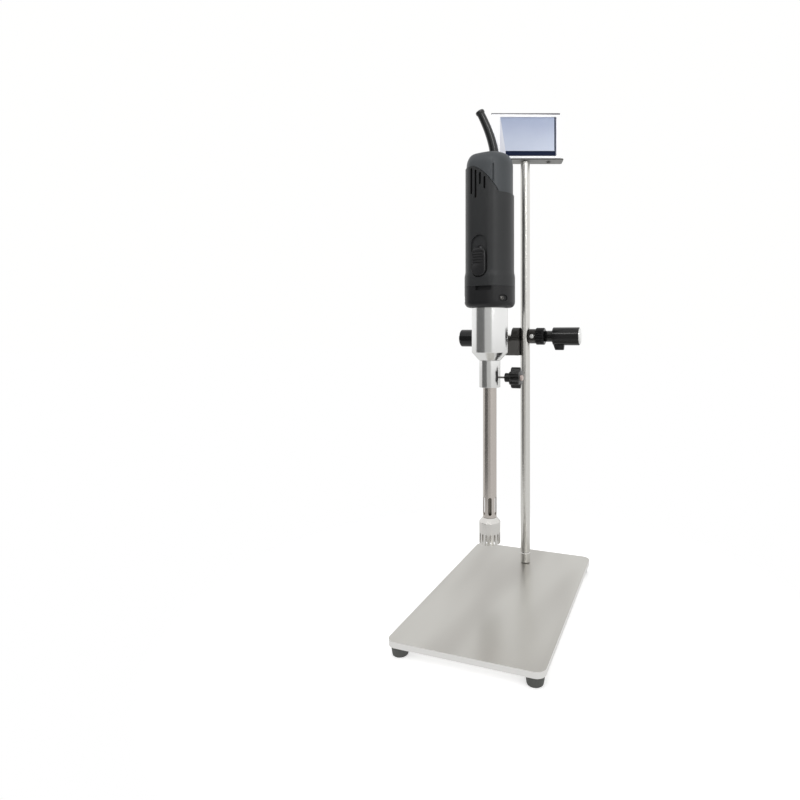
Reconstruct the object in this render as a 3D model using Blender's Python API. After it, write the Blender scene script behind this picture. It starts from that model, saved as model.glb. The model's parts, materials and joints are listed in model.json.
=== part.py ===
# Bench homogenizer: a motor tool on an arm, clamped to a column that stands on a flat base.
# Metres, +Z up, feet on z = 0, the front towards -Y. The origin is below the middle of the whole.

import math

import bmesh
import bpy
from mathutils import Matrix, Vector

# Fits between pieces
GAP = 0.0003

# Base plate and its feet
PLATE_WIDTH = 0.180
PLATE_DEPTH = 0.310
PLATE_THICKNESS = 0.007
PLATE_CORNER = 0.011
PLATE_EDGE = 0.0006
FOOT_HEIGHT = 0.012
FOOT_TOP_RADIUS = 0.0105
FOOT_BOTTOM_RADIUS = 0.0090
FOOT_ROUND = 0.0012
FOOT_RIM = 0.0020
FOOT_INSET = 0.0125
FOOT_POCKET_DEPTH = 0.0055
FOOT_SCREW_RADIUS = 0.0020
FOOT_SCREW_BITE = 0.0045
PAN_HEAD_RADIUS = 0.0038
PAN_HEAD_HEIGHT = 0.0024

# Column
COLUMN_RADIUS = 0.007
COLUMN_LENGTH = 0.5828
COLUMN_OFF_CENTRE = 0.0013
COLUMN_FROM_REAR = 0.050
COLUMN_CHAMFER = 0.0007
SOCKET_LENGTH = 0.0147
BOLT_RADIUS = 0.004
BOLT_HEAD_RADIUS = 0.0068
BOLT_HEAD_HEIGHT = 0.0042
BOLT_BITE = 0.020
TOP_SCREW_RADIUS = 0.0025
TOP_SCREW_BITE = 0.012
TOP_SCREW_HEAD_RADIUS = 0.0046
TOP_SCREW_HEAD_HEIGHT = 0.0028

# Display and the tray under it
DISPLAY_TURN = math.radians(20)
TRAY_WIDTH = 0.112
TRAY_DEPTH = 0.022
TRAY_SHEET = 0.0018
TRAY_CORNER = 0.0030
TRAY_EDGE = 0.0004
DISPLAY_WIDTH = 0.1055
DISPLAY_HEIGHT = 0.0654
DISPLAY_WALL = 0.0024
DISPLAY_CORNER = 0.0040
BEZEL_DEPTH = 0.0045
BEZEL_LIP = 0.0014
WINDOW_WIDTH = 0.0838
WINDOW_HEIGHT = 0.0580
WINDOW_SHIFT_X = 0.0037
WINDOW_SHIFT_Z = -0.0004
WINDOW_THICKNESS = 0.0020
WINDOW_OVERLAP = 0.0010
WINDOW_CORNER = 0.0010
BOARD_THICKNESS = 0.0016
BOARD_MARGIN = 0.0030
BOARD_SETBACK = 0.0025
BOARD_POST_RADIUS = 0.003
BOARD_POST_INSET = 0.007
DISPLAY_SCREW_SPREAD = 0.070
DISPLAY_SCREW_RADIUS = 0.0016
DISPLAY_SCREW_HEAD_RADIUS = 0.0030
DISPLAY_SCREW_HEAD_HEIGHT = 0.0020
GLAND_RADIUS = 0.0060
GLAND_LENGTH = 0.009
GLAND_HEIGHT = 0.016
GLAND_THREAD_RADIUS = 0.0045
GLAND_BORE_RADIUS = 0.0018

# Clamp head on the column
CLAMP_ABOVE_PLATE = 0.337
ROD_BELOW_CLAMP = 0.003
ROD_RADIUS = 0.007
ARM_OFFSET = 0.0261
BARREL_RADIUS = 0.013
JAW_RADIUS = 0.0108
JAW_WALL = 0.0100
BOSS_DEPTH = 0.030
BOSS_FLOOR_DROP = 0.0255
ROD_WALL = 0.0040
ROD_WALL_RISE = 0.0125
BOSS_EDGE = 0.0008
JAW_SCREW_RADIUS = 0.0018
JAW_SCREW_HEAD_RADIUS = 0.0032
JAW_SCREW_HEAD_HEIGHT = 0.0022
JAW_SCREW_LENGTH = 0.0050
JAW_SCREW_SINK = 0.0012

# The two clamp handles
CLAMP_SCREW_RADIUS = 0.004
CLAMP_SCREW_BITE = 0.018
LOCK_RING_RADIUS = 0.0126
LOCK_RING_LENGTH = 0.0125
LOCK_RING_GROOVE = 0.0009
LOCK_RING_GROOVES = 16
NECK_RADIUS = 0.0083
NECK_LENGTH = 0.0125
GRIP_RADIUS = 0.0132
GRIP_LENGTH = 0.0385
GRIP_CAP_RADIUS = 0.0118
GRIP_CAP_THICKNESS = 0.0030
GRIP_CAP_PROUD = 0.0014
LUG_WIDTH = 0.0070
LUG_LENGTH = 0.0165
LUG_HEIGHT = 0.0070
LUG_TAPER = 0.0030

# Arm and the metal nose of the tool
ARM_REACH = 0.089
ARM_TAIL = 0.008
ARM_SPIGOT_RADIUS = 0.0040
SLEEVE_RADIUS = 0.0245
SLEEVE_WALL = 0.0025
SLEEVE_TOP_ABOVE_ROD = 0.0418
SLEEVE_LENGTH = 0.0600
SLEEVE_TAPER = 0.0110
SLEEVE_FLOOR = 0.0060
COLLAR_RADIUS = 0.0143
COLLAR_LENGTH = 0.0366
COLLAR_SHOULDER = 0.0012
COLLAR_SPIGOT_RADIUS = 0.0106
COLLAR_BORE_DEPTH = 0.032
COLLAR_SHAFT_BORE = 0.0060
COLLAR_SPOT_RADIUS = 0.0130
COLLAR_SPOT_DEPTH = 0.0009
SLEEVE_SPOT_RADIUS = 0.0055
SLEEVE_SPOT_DEPTH = 0.0006
SLEEVE_SPOT_RISE = 0.0050

# Star screw that holds the dispersing tool
STAR_ABOVE_COLLAR_END = 0.0137
STAR_SCREW_RADIUS = 0.0013
STAR_STANDOFF = 0.0078
STAR_HUB_RADIUS = 0.0061
STAR_HUB_LENGTH = 0.0084
STAR_RADIUS = 0.0142
STAR_VALLEY_RADIUS = 0.0096
STAR_LENGTH = 0.0132
STAR_LOBES = 6
STAR_CAP_RADIUS = 0.0038
STAR_CAP_LENGTH = 0.0050
STAR_CAP_PROUD = 0.0026

# Dispersing tool
TUBE_RADIUS = 0.0092
TUBE_WALL = 0.0015
TUBE_VISIBLE = 0.1758
TUBE_WINDOWS = 6
TUBE_TURN = math.radians(20)
WINDOW_SLOT_WIDTH = 0.0044
WINDOW_SLOT_LENGTH = 0.0240
WINDOW_SLOT_RISE = 0.0036
HEAD_RADIUS = 0.0144
HEAD_LENGTH = 0.0290
HEAD_FLARE = 0.0056
HEAD_WALL = 0.0026
HEAD_TOP_WALL = 0.0075
HEAD_SPIGOT = 0.0026
TOOTH_SLOTS = 16
TOOTH_SLOT_WIDTH = 0.0022
TOOTH_SLOT_LENGTH = 0.0140
SHAFT_RADIUS = 0.0040
SHAFT_END_RADIUS = 0.0030
SHAFT_END_RISE = 0.0025
ROTOR_CLEARANCE = 0.0005
ROTOR_BLADES = 4
ROTOR_BLADE = 0.0032
ROTOR_HUB_RADIUS = 0.0055
ROTOR_HEIGHT = 0.0130
ROTOR_RECESS = 0.0010
BUSH_LENGTH = 0.0100
LOWER_BUSH_RISE = 0.0020
UPPER_BUSH_DROP = 0.0060

# Motor housing, whose front turns a little to the left of the stand's front
MOTOR_TURN = math.radians(-10)
HOUSING_RADIUS = 0.0332
HOUSING_FLAT = 0.0300
HOUSING_FLARE = 0.0012
HOUSING_BORE = 0.0255
NOSE_HEIGHT = 0.0272
NOSE_ROUND = 0.0060
NECK_WALL_HEIGHT = 0.0140
NOSE_NECK_LENGTH = 0.0250
NOSE_NECK_CAVITY = 0.0190
NOSE_FLOOR = 0.0040
NOSE_LEDGE = 0.0020
BODY_LOW_RISE = 0.0130
BODY_LOW_BLEND = 0.0080
CAP_LINE_ABOVE_NOSE = 0.1240
TONGUE_ABOVE_CAP_LINE = 0.0361
TONGUE_RIGHT = 0.0240
TONGUE_SHOULDER = 0.0355
TONGUE_POWER = 1.4
HOUSING_HEIGHT = 0.2062
CAP_INSET = 0.0015
CAP_ROUND_HEIGHT = 0.0150
CAP_ROUND_BLEND = 0.0040
CAP_TOP_RADIUS = 0.0222
CAP_TOP_WALL = 0.0100
CAP_GROOVE_WIDTH = 0.0016
CAP_GROOVE_DEPTH = 0.0011
CAP_GROOVE_LENGTH = 0.0240
CAP_GROOVE_X = 0.0190
VENT_COUNT = 4
VENT_WIDTH = 0.0026
VENT_PITCH = 0.0067
VENT_LEFT = 0.0121
VENT_TOP_DROP = 0.0025
VENT_BOTTOM_DROP = 0.0010
VENT_BOTTOM_STEP = 0.0060
VENT_SHORT_RISE = 0.0110
SEAM_SLOT_WIDTH = 0.0230
SEAM_SLOT_HEIGHT = 0.0054
SEAM_SLOT_DEPTH = 0.0030
SEAM_SLOT_X = 0.0065
NOSE_SCREW_ANGLE = math.radians(58)
NOSE_SCREW_RISE = 0.0115
NOSE_RECESS_HALF_WIDTH = 0.0078
NOSE_RECESS_HALF_HEIGHT = 0.0047
NOSE_RECESS_DEPTH = 0.0024
NOSE_SCREW_RADIUS = 0.0016
NOSE_SCREW_HEAD_RADIUS = 0.0030
NOSE_SCREW_HEAD_HEIGHT = 0.0018
NOSE_SCREW_LENGTH = 0.0040

# Slide switch
SWITCH_RECESS_WIDTH = 0.0243
SWITCH_RECESS_HEIGHT = 0.0563
SWITCH_RECESS_DEPTH = 0.0026
SWITCH_RECESS_RISE = 0.0113
SWITCH_WIDTH = 0.0206
SWITCH_HEIGHT = 0.0365
SWITCH_PROUD = 0.0030
SWITCH_RISE = 0.0022
SWITCH_TRAVEL = 0.0120
SWITCH_STEM_WIDTH = 0.0060
SWITCH_STEM_HEIGHT = 0.0180
SWITCH_STEM_DEPTH = 0.0017
SWITCH_CORNER = 0.0080
SWITCH_RIBS = 5
SWITCH_RIB_PITCH = 0.0036
SWITCH_RIB_DEPTH = 0.0009

# Strain relief on top of the motor, leaning to the left
BOOT_TURN = math.radians(200)
BOOT_SEAT_DEPTH = 0.0050
BOOT_OFFSET = 0.0065
BOOT_BASE_RADIUS = 0.0064
BOOT_TIP_RADIUS = 0.0053
BOOT_RIM_RADIUS = 0.0062
BOOT_RIM_LENGTH = 0.0040
BOOT_HEIGHT = 0.0617
BOOT_BEND = 1.57
BOOT_LEAN = 0.0205
BOOT_MOUTH_RADIUS = 0.0034
BOOT_MOUTH_DEPTH = 0.0030

# Motor inside the housing
CORE_HEIGHT = 0.0700
CORE_RISE = 0.0330
CORE_WALL = 0.0076
ARMATURE_CLEARANCE = 0.0006
ARMATURE_SLOTS = 12
ARMATURE_SLOT_WIDTH = 0.0026
ARMATURE_SLOT_DEPTH = 0.0050
END_TURN_HEIGHT = 0.0070
END_TURN_RADIUS = 0.0130
COMMUTATOR_RADIUS = 0.0110
COMMUTATOR_HEIGHT = 0.0180
COMMUTATOR_RISE = 0.0120
COMMUTATOR_BARS = 14
BRUSH_WIDTH = 0.0064
BRUSH_HEIGHT = 0.0090
FAN_RISE = 0.0070
FAN_RADIUS = 0.0230
FAN_HUB_RADIUS = 0.0075
FAN_PLATE = 0.0020
FAN_BLADE_HEIGHT = 0.0100
FAN_BLADE = 0.0012
FAN_BLADES = 11
BEARING_RADIUS = 0.0110
BEARING_HEIGHT = 0.0070
BEARING_SEAT_WALL = 0.0025
BEARING_GROOVE = 0.0012
COUPLING_RADIUS = 0.0090
COUPLING_LENGTH = 0.0220
COUPLING_ABOVE_COLLAR = 0.0025
COUPLING_SHAFT_GAP = 0.0020

# Edges, and how far a cutter passes the faces that it cuts
EDGE = 0.0008
SMALL_EDGE = 0.0005
STAR_EDGE = 0.0012
OVERRUN = 0.001

# Facets round a full turn
FINE = 24
MEDIUM = 20
COARSE = 12
SMALL = 10

# Places that several pieces share, worked out from the sizes above
plate_bottom = FOOT_HEIGHT
plate_top = plate_bottom + PLATE_THICKNESS
handle_length = LOCK_RING_LENGTH + NECK_LENGTH + GRIP_LENGTH + GRIP_CAP_PROUD + 3 * GAP
rod_wall_outer = ARM_OFFSET + ROD_RADIUS + GAP + ROD_WALL
plate_x = (rod_wall_outer + handle_length - COLUMN_OFF_CENTRE - PLATE_WIDTH / 2) / 2
column_x = plate_x + COLUMN_OFF_CENTRE
column_y = PLATE_DEPTH / 2 - COLUMN_FROM_REAR
column_bottom = plate_top + GAP + SOCKET_LENGTH + GAP
column_top = column_bottom + COLUMN_LENGTH
clamp_z = plate_top + CLAMP_ABOVE_PLATE
rod_z = clamp_z - ROD_BELOW_CLAMP
tool_x = column_x - ARM_OFFSET
tool_y = column_y - ARM_REACH
sleeve_top = rod_z + SLEEVE_TOP_ABOVE_ROD
sleeve_shoulder = sleeve_top - SLEEVE_LENGTH
sleeve_bottom = sleeve_shoulder - SLEEVE_TAPER
sleeve_bore = SLEEVE_RADIUS - SLEEVE_WALL
sleeve_floor_top = sleeve_shoulder + SLEEVE_FLOOR
collar_top = sleeve_bottom - GAP
collar_bottom = collar_top - COLLAR_LENGTH
tube_top = collar_bottom + COLLAR_BORE_DEPTH - GAP
tube_bottom = collar_bottom - TUBE_VISIBLE
tube_bore = TUBE_RADIUS - TUBE_WALL
head_top = tube_bottom - GAP
head_bottom = head_top - HEAD_LENGTH - HEAD_FLARE
head_bore = HEAD_RADIUS - HEAD_WALL
nose_bottom = sleeve_top + GAP
nose_top = nose_bottom + NOSE_HEIGHT
body_bottom = nose_top + GAP
cap_line = nose_top + CAP_LINE_ABOVE_NOSE
tongue_top = cap_line + TONGUE_ABOVE_CAP_LINE
housing_top = nose_bottom + HOUSING_HEIGHT
core_bottom = nose_top + CORE_RISE
core_top = core_bottom + CORE_HEIGHT
armature_radius = HOUSING_BORE - GAP - CORE_WALL - ARMATURE_CLEARANCE
commutator_bottom = core_top + COMMUTATOR_RISE
front_bearing_bottom = nose_bottom - NECK_WALL_HEIGHT / 2
rear_bearing_top = housing_top - CAP_TOP_WALL - GAP
collar_spigot_top = sleeve_floor_top - GAP
coupling_bottom = collar_spigot_top + COUPLING_ABOVE_COLLAR
coupling_middle = coupling_bottom + COUPLING_LENGTH / 2
drive_shaft_top = coupling_middle - COUPLING_SHAFT_GAP / 2
motor_shaft_bottom = coupling_middle + COUPLING_SHAFT_GAP / 2
star_z = collar_bottom + STAR_ABOVE_COLLAR_END
tray_floor_bottom = column_top + GAP
tray_floor_top = tray_floor_bottom + TRAY_SHEET
display_bottom = tray_floor_top + GAP


def clear_scene():
    for old in list(bpy.data.objects):
        bpy.data.objects.remove(old, do_unlink=True)


def finish(name, colour, roughness, metallic=0.0):
    """A plain surface of one colour."""
    material = bpy.data.materials.new(name)
    material.use_nodes = True
    shader = material.node_tree.nodes["Principled BSDF"]
    shader.inputs["Base Color"].default_value = (*colour, 1.0)
    shader.inputs["Roughness"].default_value = roughness
    shader.inputs["Metallic"].default_value = metallic
    return material


STEEL = ((0.55, 0.54, 0.51), 0.38, 1.0)
CHROME = ((0.72, 0.72, 0.72), 0.12, 1.0)
ALUMINIUM = ((0.66, 0.66, 0.66), 0.20, 1.0)
BLACK_METAL = ((0.022, 0.022, 0.023), 0.42, 0.0)
BLACK_PLASTIC = ((0.030, 0.031, 0.032), 0.45, 0.0)
GREY_PLASTIC = ((0.085, 0.090, 0.094), 0.50, 0.0)
RUBBER = ((0.040, 0.041, 0.039), 0.75, 0.0)
WHITE_PLASTIC = ((0.86, 0.87, 0.89), 0.35, 0.0)
TRAY_PAINT = ((0.21, 0.21, 0.21), 0.40, 0.0)
GLASS = ((0.42, 0.48, 0.62), 0.10, 0.0)
BOARD_GREEN = ((0.02, 0.12, 0.06), 0.50, 0.0)
WHITE_BUSH = ((0.80, 0.80, 0.78), 0.45, 0.0)
COPPER = ((0.60, 0.28, 0.15), 0.35, 1.0)
IRON = ((0.28, 0.28, 0.29), 0.45, 1.0)
CARBON = ((0.03, 0.03, 0.03), 0.60, 0.0)
SALMON = ((0.62, 0.48, 0.42), 0.40, 0.0)


def solid(name, mesh_builder, look):
    """Make one named object from a bmesh, with faces pointing out."""
    bmesh.ops.remove_doubles(mesh_builder, verts=mesh_builder.verts, dist=1e-7)
    bmesh.ops.recalc_face_normals(mesh_builder, faces=mesh_builder.faces)
    mesh = bpy.data.meshes.new(name)
    mesh_builder.to_mesh(mesh)
    mesh_builder.free()
    shape = bpy.data.objects.new(name, mesh)
    bpy.context.scene.collection.objects.link(shape)
    if look is not None:
        mesh.materials.append(finish(name, *look))
    mesh.shade_smooth()
    mesh.set_sharp_from_angle(angle=math.radians(32))
    return shape


def turned(name, profile, look, sides=MEDIUM):
    """Revolve a closed outline of (radius, height) points round Z."""
    builder = bmesh.new()
    points = [builder.verts.new((radius, 0.0, height)) for radius, height in profile]
    edges = [builder.edges.new((a, b)) for a, b in zip(points, points[1:] + points[:1])
             if a.co.x > 0 or b.co.x > 0]
    bmesh.ops.spin(builder, geom=points + edges, cent=(0, 0, 0), axis=(0, 0, 1),
                   angle=math.tau, steps=sides, use_duplicate=False)
    bmesh.ops.remove_doubles(builder, verts=builder.verts, dist=1e-7)
    bmesh.ops.dissolve_degenerate(builder, dist=1e-8, edges=builder.edges)
    loose = [edge for edge in builder.edges if not edge.link_faces]
    bmesh.ops.delete(builder, geom=loose, context="EDGES")
    return solid(name, builder, look)


def prism(name, outline, bottom, top, look):
    """Extrude a closed outline of (x, y) points from bottom to top."""
    return loft(name, [[(x, y, bottom) for x, y in outline], [(x, y, top) for x, y in outline]], look)


def loft(name, rings, look):
    """Skin rings that have the same number of points and close both ends."""
    builder = bmesh.new()
    layers = [[builder.verts.new(point) for point in ring] for ring in rings]
    count = len(layers[0])
    for low, high in zip(layers, layers[1:]):
        for i in range(count):
            builder.faces.new((low[i], low[(i + 1) % count], high[(i + 1) % count], high[i]))
    builder.faces.new(layers[0][::-1])
    builder.faces.new(layers[-1])
    return solid(name, builder, look)


def rounded_rectangle(width, depth, radius, arc=4, centre=(0.0, 0.0)):
    outline = []
    for turn, (sx, sy) in enumerate(((1, 1), (-1, 1), (-1, -1), (1, -1))):
        for step in range(arc + 1):
            angle = math.radians(90) * (turn + step / arc)
            outline.append((centre[0] + sx * (width / 2 - radius) + radius * math.cos(angle),
                            centre[1] + sy * (depth / 2 - radius) + radius * math.sin(angle)))
    return outline


def circle(radius, sides, centre=(0.0, 0.0)):
    return [(centre[0] + radius * math.cos(math.tau * i / sides),
             centre[1] + radius * math.sin(math.tau * i / sides)) for i in range(sides)]


def toothed_circle(radius, groove_depth, grooves):
    """A round outline with evenly spaced shallow grooves."""
    outline = []
    for i in range(grooves):
        for share, depth in ((0.00, 0.0), (0.50, 0.0), (0.62, 1.0), (0.88, 1.0)):
            angle = math.tau * (i + share) / grooves
            reach = radius - depth * groove_depth
            outline.append((reach * math.cos(angle), reach * math.sin(angle)))
    return outline


def moved(shape, location=(0, 0, 0), turn=0.0, tilt=None):
    """Bake a tilt, then a turn round Z, then a move into the mesh."""
    matrix = Matrix.Translation(location) @ Matrix.Rotation(turn, 4, "Z")
    if tilt is not None:
        matrix = matrix @ Matrix.Rotation(tilt[1], 4, tilt[0])
    shape.data.transform(matrix)
    return shape


def combine(shape, tool, operation):
    modifier = shape.modifiers.new(operation.lower(), "BOOLEAN")
    modifier.operation = operation
    modifier.solver = "EXACT"
    modifier.object = tool
    evaluated = shape.evaluated_get(bpy.context.evaluated_depsgraph_get())
    result = bpy.data.meshes.new_from_object(evaluated)
    shape.modifiers.clear()
    shape.data = result
    bpy.data.objects.remove(tool, do_unlink=True)
    return shape


def cut(shape, *tools):
    for tool in tools:
        combine(shape, tool, "DIFFERENCE")
    return tidy(shape)


def join(shape, *pieces):
    for piece in pieces:
        combine(shape, piece, "UNION")
    return tidy(shape)


def tidy(shape):
    """Merge coincident points that a cut leaves, and shade again."""
    builder = bmesh.new()
    builder.from_mesh(shape.data)
    bmesh.ops.remove_doubles(builder, verts=builder.verts, dist=1e-6)
    bmesh.ops.dissolve_degenerate(builder, dist=1e-6, edges=builder.edges)
    builder.to_mesh(shape.data)
    builder.free()
    shape.data.shade_smooth()
    shape.data.set_sharp_from_angle(angle=math.radians(32))
    return shape


def rod_tool(radius, start, end, sides=SMALL):
    """A round cutter or bar between two points."""
    start = Vector(start)
    end = Vector(end)
    span = end - start
    bar = prism("bar", circle(radius, sides), 0.0, span.length, None)
    bar.data.transform(Matrix.Translation(start) @ span.to_track_quat("Z", "Y").to_matrix().to_4x4())
    return bar


def box_tool(low, high):
    outline = [(low[0], low[1]), (high[0], low[1]), (high[0], high[1]), (low[0], high[1])]
    return prism("block", outline, low[2], high[2], None)


def soften(shape, width, angle=40):
    bevel = shape.modifiers.new("edges", "BEVEL")
    bevel.width = width
    bevel.segments = 1
    bevel.limit_method = "ANGLE"
    bevel.angle_limit = math.radians(angle)
    bevel.harden_normals = False
    return shape


# Stand


def foot_places():
    across = PLATE_WIDTH / 2 - FOOT_INSET
    along = PLATE_DEPTH / 2 - FOOT_INSET
    return {"front_left": (plate_x - across, -along), "front_right": (plate_x + across, -along),
            "rear_left": (plate_x - across, along), "rear_right": (plate_x + across, along)}


def make_base_plate():
    outline = rounded_rectangle(PLATE_WIDTH, PLATE_DEPTH, PLATE_CORNER, centre=(plate_x, 0.0))
    plate = prism("base_plate", outline, plate_bottom, plate_top, STEEL)
    drills = [rod_tool(FOOT_SCREW_RADIUS + GAP, (x, y, plate_bottom - OVERRUN),
                       (x, y, plate_bottom + FOOT_SCREW_BITE + GAP)) for x, y in foot_places().values()]
    drills.append(rod_tool(BOLT_RADIUS + GAP, (column_x, column_y, plate_bottom - OVERRUN),
                           (column_x, column_y, plate_top + OVERRUN), COARSE))
    drills.append(rod_tool(BOLT_HEAD_RADIUS + GAP, (column_x, column_y, plate_bottom - OVERRUN),
                           (column_x, column_y, plate_bottom + BOLT_HEAD_HEIGHT + GAP), COARSE))
    cut(plate, *drills)
    soften(plate, PLATE_EDGE)


def make_foot(place, x, y):
    top = plate_bottom - GAP
    bore = FOOT_SCREW_RADIUS + GAP
    pocket = PAN_HEAD_RADIUS + 2 * GAP
    foot = turned("foot_" + place, [
        (bore, top), (FOOT_TOP_RADIUS, top), (FOOT_TOP_RADIUS, top - FOOT_RIM),
        (FOOT_BOTTOM_RADIUS + FOOT_ROUND / 2, FOOT_ROUND), (FOOT_BOTTOM_RADIUS, FOOT_ROUND / 4),
        (FOOT_BOTTOM_RADIUS - FOOT_ROUND / 2, 0.0), (pocket, 0.0), (pocket, FOOT_POCKET_DEPTH),
        (bore, FOOT_POCKET_DEPTH)], RUBBER, COARSE)
    moved(foot, (x, y, 0))
    seat = FOOT_POCKET_DEPTH - GAP
    screw = turned("foot_screw_" + place, [
        (0, plate_bottom + FOOT_SCREW_BITE), (FOOT_SCREW_RADIUS, plate_bottom + FOOT_SCREW_BITE),
        (FOOT_SCREW_RADIUS, seat), (PAN_HEAD_RADIUS, seat), (PAN_HEAD_RADIUS, seat - PAN_HEAD_HEIGHT / 2),
        (PAN_HEAD_RADIUS * 0.7, seat - PAN_HEAD_HEIGHT), (0, seat - PAN_HEAD_HEIGHT)], CHROME, SMALL)
    moved(screw, (x, y, 0))


def make_column():
    bore = BOLT_RADIUS + GAP
    chamfer = COLUMN_CHAMFER
    socket = turned("column_socket", [
        (bore, plate_top + GAP), (COLUMN_RADIUS, plate_top + GAP),
        (COLUMN_RADIUS, column_bottom - GAP - chamfer), (COLUMN_RADIUS - chamfer, column_bottom - GAP),
        (bore, column_bottom - GAP)], CHROME, FINE)
    moved(socket, (column_x, column_y, 0))
    drill_top = column_bottom + BOLT_BITE + GAP
    tap_bottom = column_top - TOP_SCREW_BITE - GAP
    column = turned("column", [
        (bore, column_bottom), (COLUMN_RADIUS - chamfer, column_bottom),
        (COLUMN_RADIUS, column_bottom + chamfer), (COLUMN_RADIUS, column_top - chamfer),
        (COLUMN_RADIUS - chamfer, column_top), (TOP_SCREW_RADIUS + GAP, column_top),
        (TOP_SCREW_RADIUS + GAP, tap_bottom), (0, tap_bottom), (0, drill_top), (bore, drill_top)],
        CHROME, FINE)
    moved(column, (column_x, column_y, 0))
    head_top_z = plate_bottom + BOLT_HEAD_HEIGHT
    bolt = turned("column_bolt", [
        (0, column_bottom + BOLT_BITE), (BOLT_RADIUS, column_bottom + BOLT_BITE), (BOLT_RADIUS, head_top_z),
        (BOLT_HEAD_RADIUS, head_top_z), (BOLT_HEAD_RADIUS, plate_bottom), (0, plate_bottom)], CHROME, COARSE)
    socket_key = prism("key", circle(BOLT_RADIUS * 0.75, 6), plate_bottom - OVERRUN,
                       plate_bottom + BOLT_HEAD_HEIGHT * 0.6, None)
    cut(bolt, socket_key)
    moved(bolt, (column_x, column_y, 0))
    seat = tray_floor_top + GAP
    tray_screw = turned("tray_screw", [
        (0, column_top - TOP_SCREW_BITE), (0, seat + TOP_SCREW_HEAD_HEIGHT),
        (TOP_SCREW_HEAD_RADIUS * 0.8, seat + TOP_SCREW_HEAD_HEIGHT),
        (TOP_SCREW_HEAD_RADIUS, seat + TOP_SCREW_HEAD_HEIGHT / 2), (TOP_SCREW_HEAD_RADIUS, seat),
        (TOP_SCREW_RADIUS, seat), (TOP_SCREW_RADIUS, column_top - TOP_SCREW_BITE)], CHROME, COARSE)
    moved(tray_screw, (column_x, column_y, 0))


def make_stand():
    make_base_plate()
    for place, (x, y) in foot_places().items():
        make_foot(place, x, y)
    make_column()


# Display, built in its own axes with the front towards -Y, then turned


def set_display(shape):
    return moved(shape, (column_x, column_y, 0), DISPLAY_TURN)


def make_tray():
    outline = rounded_rectangle(TRAY_WIDTH, TRAY_DEPTH, TRAY_CORNER)
    tray = prism("display_tray", outline, tray_floor_bottom, tray_floor_top, TRAY_PAINT)
    tools = [rod_tool(TOP_SCREW_RADIUS + GAP, (0, 0, tray_floor_bottom - OVERRUN),
                      (0, 0, tray_floor_top + OVERRUN))]
    for x in screw_places():
        tools.append(rod_tool(DISPLAY_SCREW_RADIUS + GAP, (x, 0, tray_floor_bottom - OVERRUN),
                              (x, 0, tray_floor_top + OVERRUN)))
    set_display(soften(cut(tray, *tools), TRAY_EDGE))


def screw_places():
    return (-DISPLAY_SCREW_SPREAD / 2, DISPLAY_SCREW_SPREAD / 2)


def display_outline(inset):
    corner = DISPLAY_CORNER - inset * 0.8
    return rounded_rectangle(DISPLAY_WIDTH - 2 * inset, DISPLAY_HEIGHT - 2 * inset, corner, 3)


def upright(outline, centre_x, centre_z, front, back, look, name="slab"):
    """A slab with its outline in the front view, from y = front to y = back."""
    slab = prism(name, outline, -back, -front, look)
    slab.data.transform(Matrix.Translation((centre_x, 0, centre_z)) @ Matrix.Rotation(math.pi / 2, 4, "X"))
    return slab


def make_display():
    middle = display_bottom + DISPLAY_HEIGHT / 2
    front = -TRAY_DEPTH / 2
    seam = front + BEZEL_DEPTH
    window_z = middle + WINDOW_SHIFT_Z
    bezel = upright(display_outline(0.0), 0, middle, front, seam, WHITE_PLASTIC, "display_bezel")
    opening = rounded_rectangle(WINDOW_WIDTH, WINDOW_HEIGHT, WINDOW_CORNER, 2)
    pane_width = WINDOW_WIDTH + 2 * WINDOW_OVERLAP
    pane_height = WINDOW_HEIGHT + 2 * WINDOW_OVERLAP
    pane = rounded_rectangle(pane_width, pane_height, WINDOW_CORNER, 2)
    seat = rounded_rectangle(pane_width + 2 * GAP, pane_height + 2 * GAP, WINDOW_CORNER, 2)
    cut(bezel, upright(opening, WINDOW_SHIFT_X, window_z, front - OVERRUN, seam + OVERRUN, None),
        upright(seat, WINDOW_SHIFT_X, window_z, front + BEZEL_LIP, seam + OVERRUN, None))
    set_display(soften(bezel, EDGE))
    pane_front = front + BEZEL_LIP + GAP
    set_display(upright(pane, WINDOW_SHIFT_X, window_z, pane_front, pane_front + WINDOW_THICKNESS, GLASS,
                        "display_window"))
    make_display_case(middle, seam + GAP, TRAY_DEPTH / 2)


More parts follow.
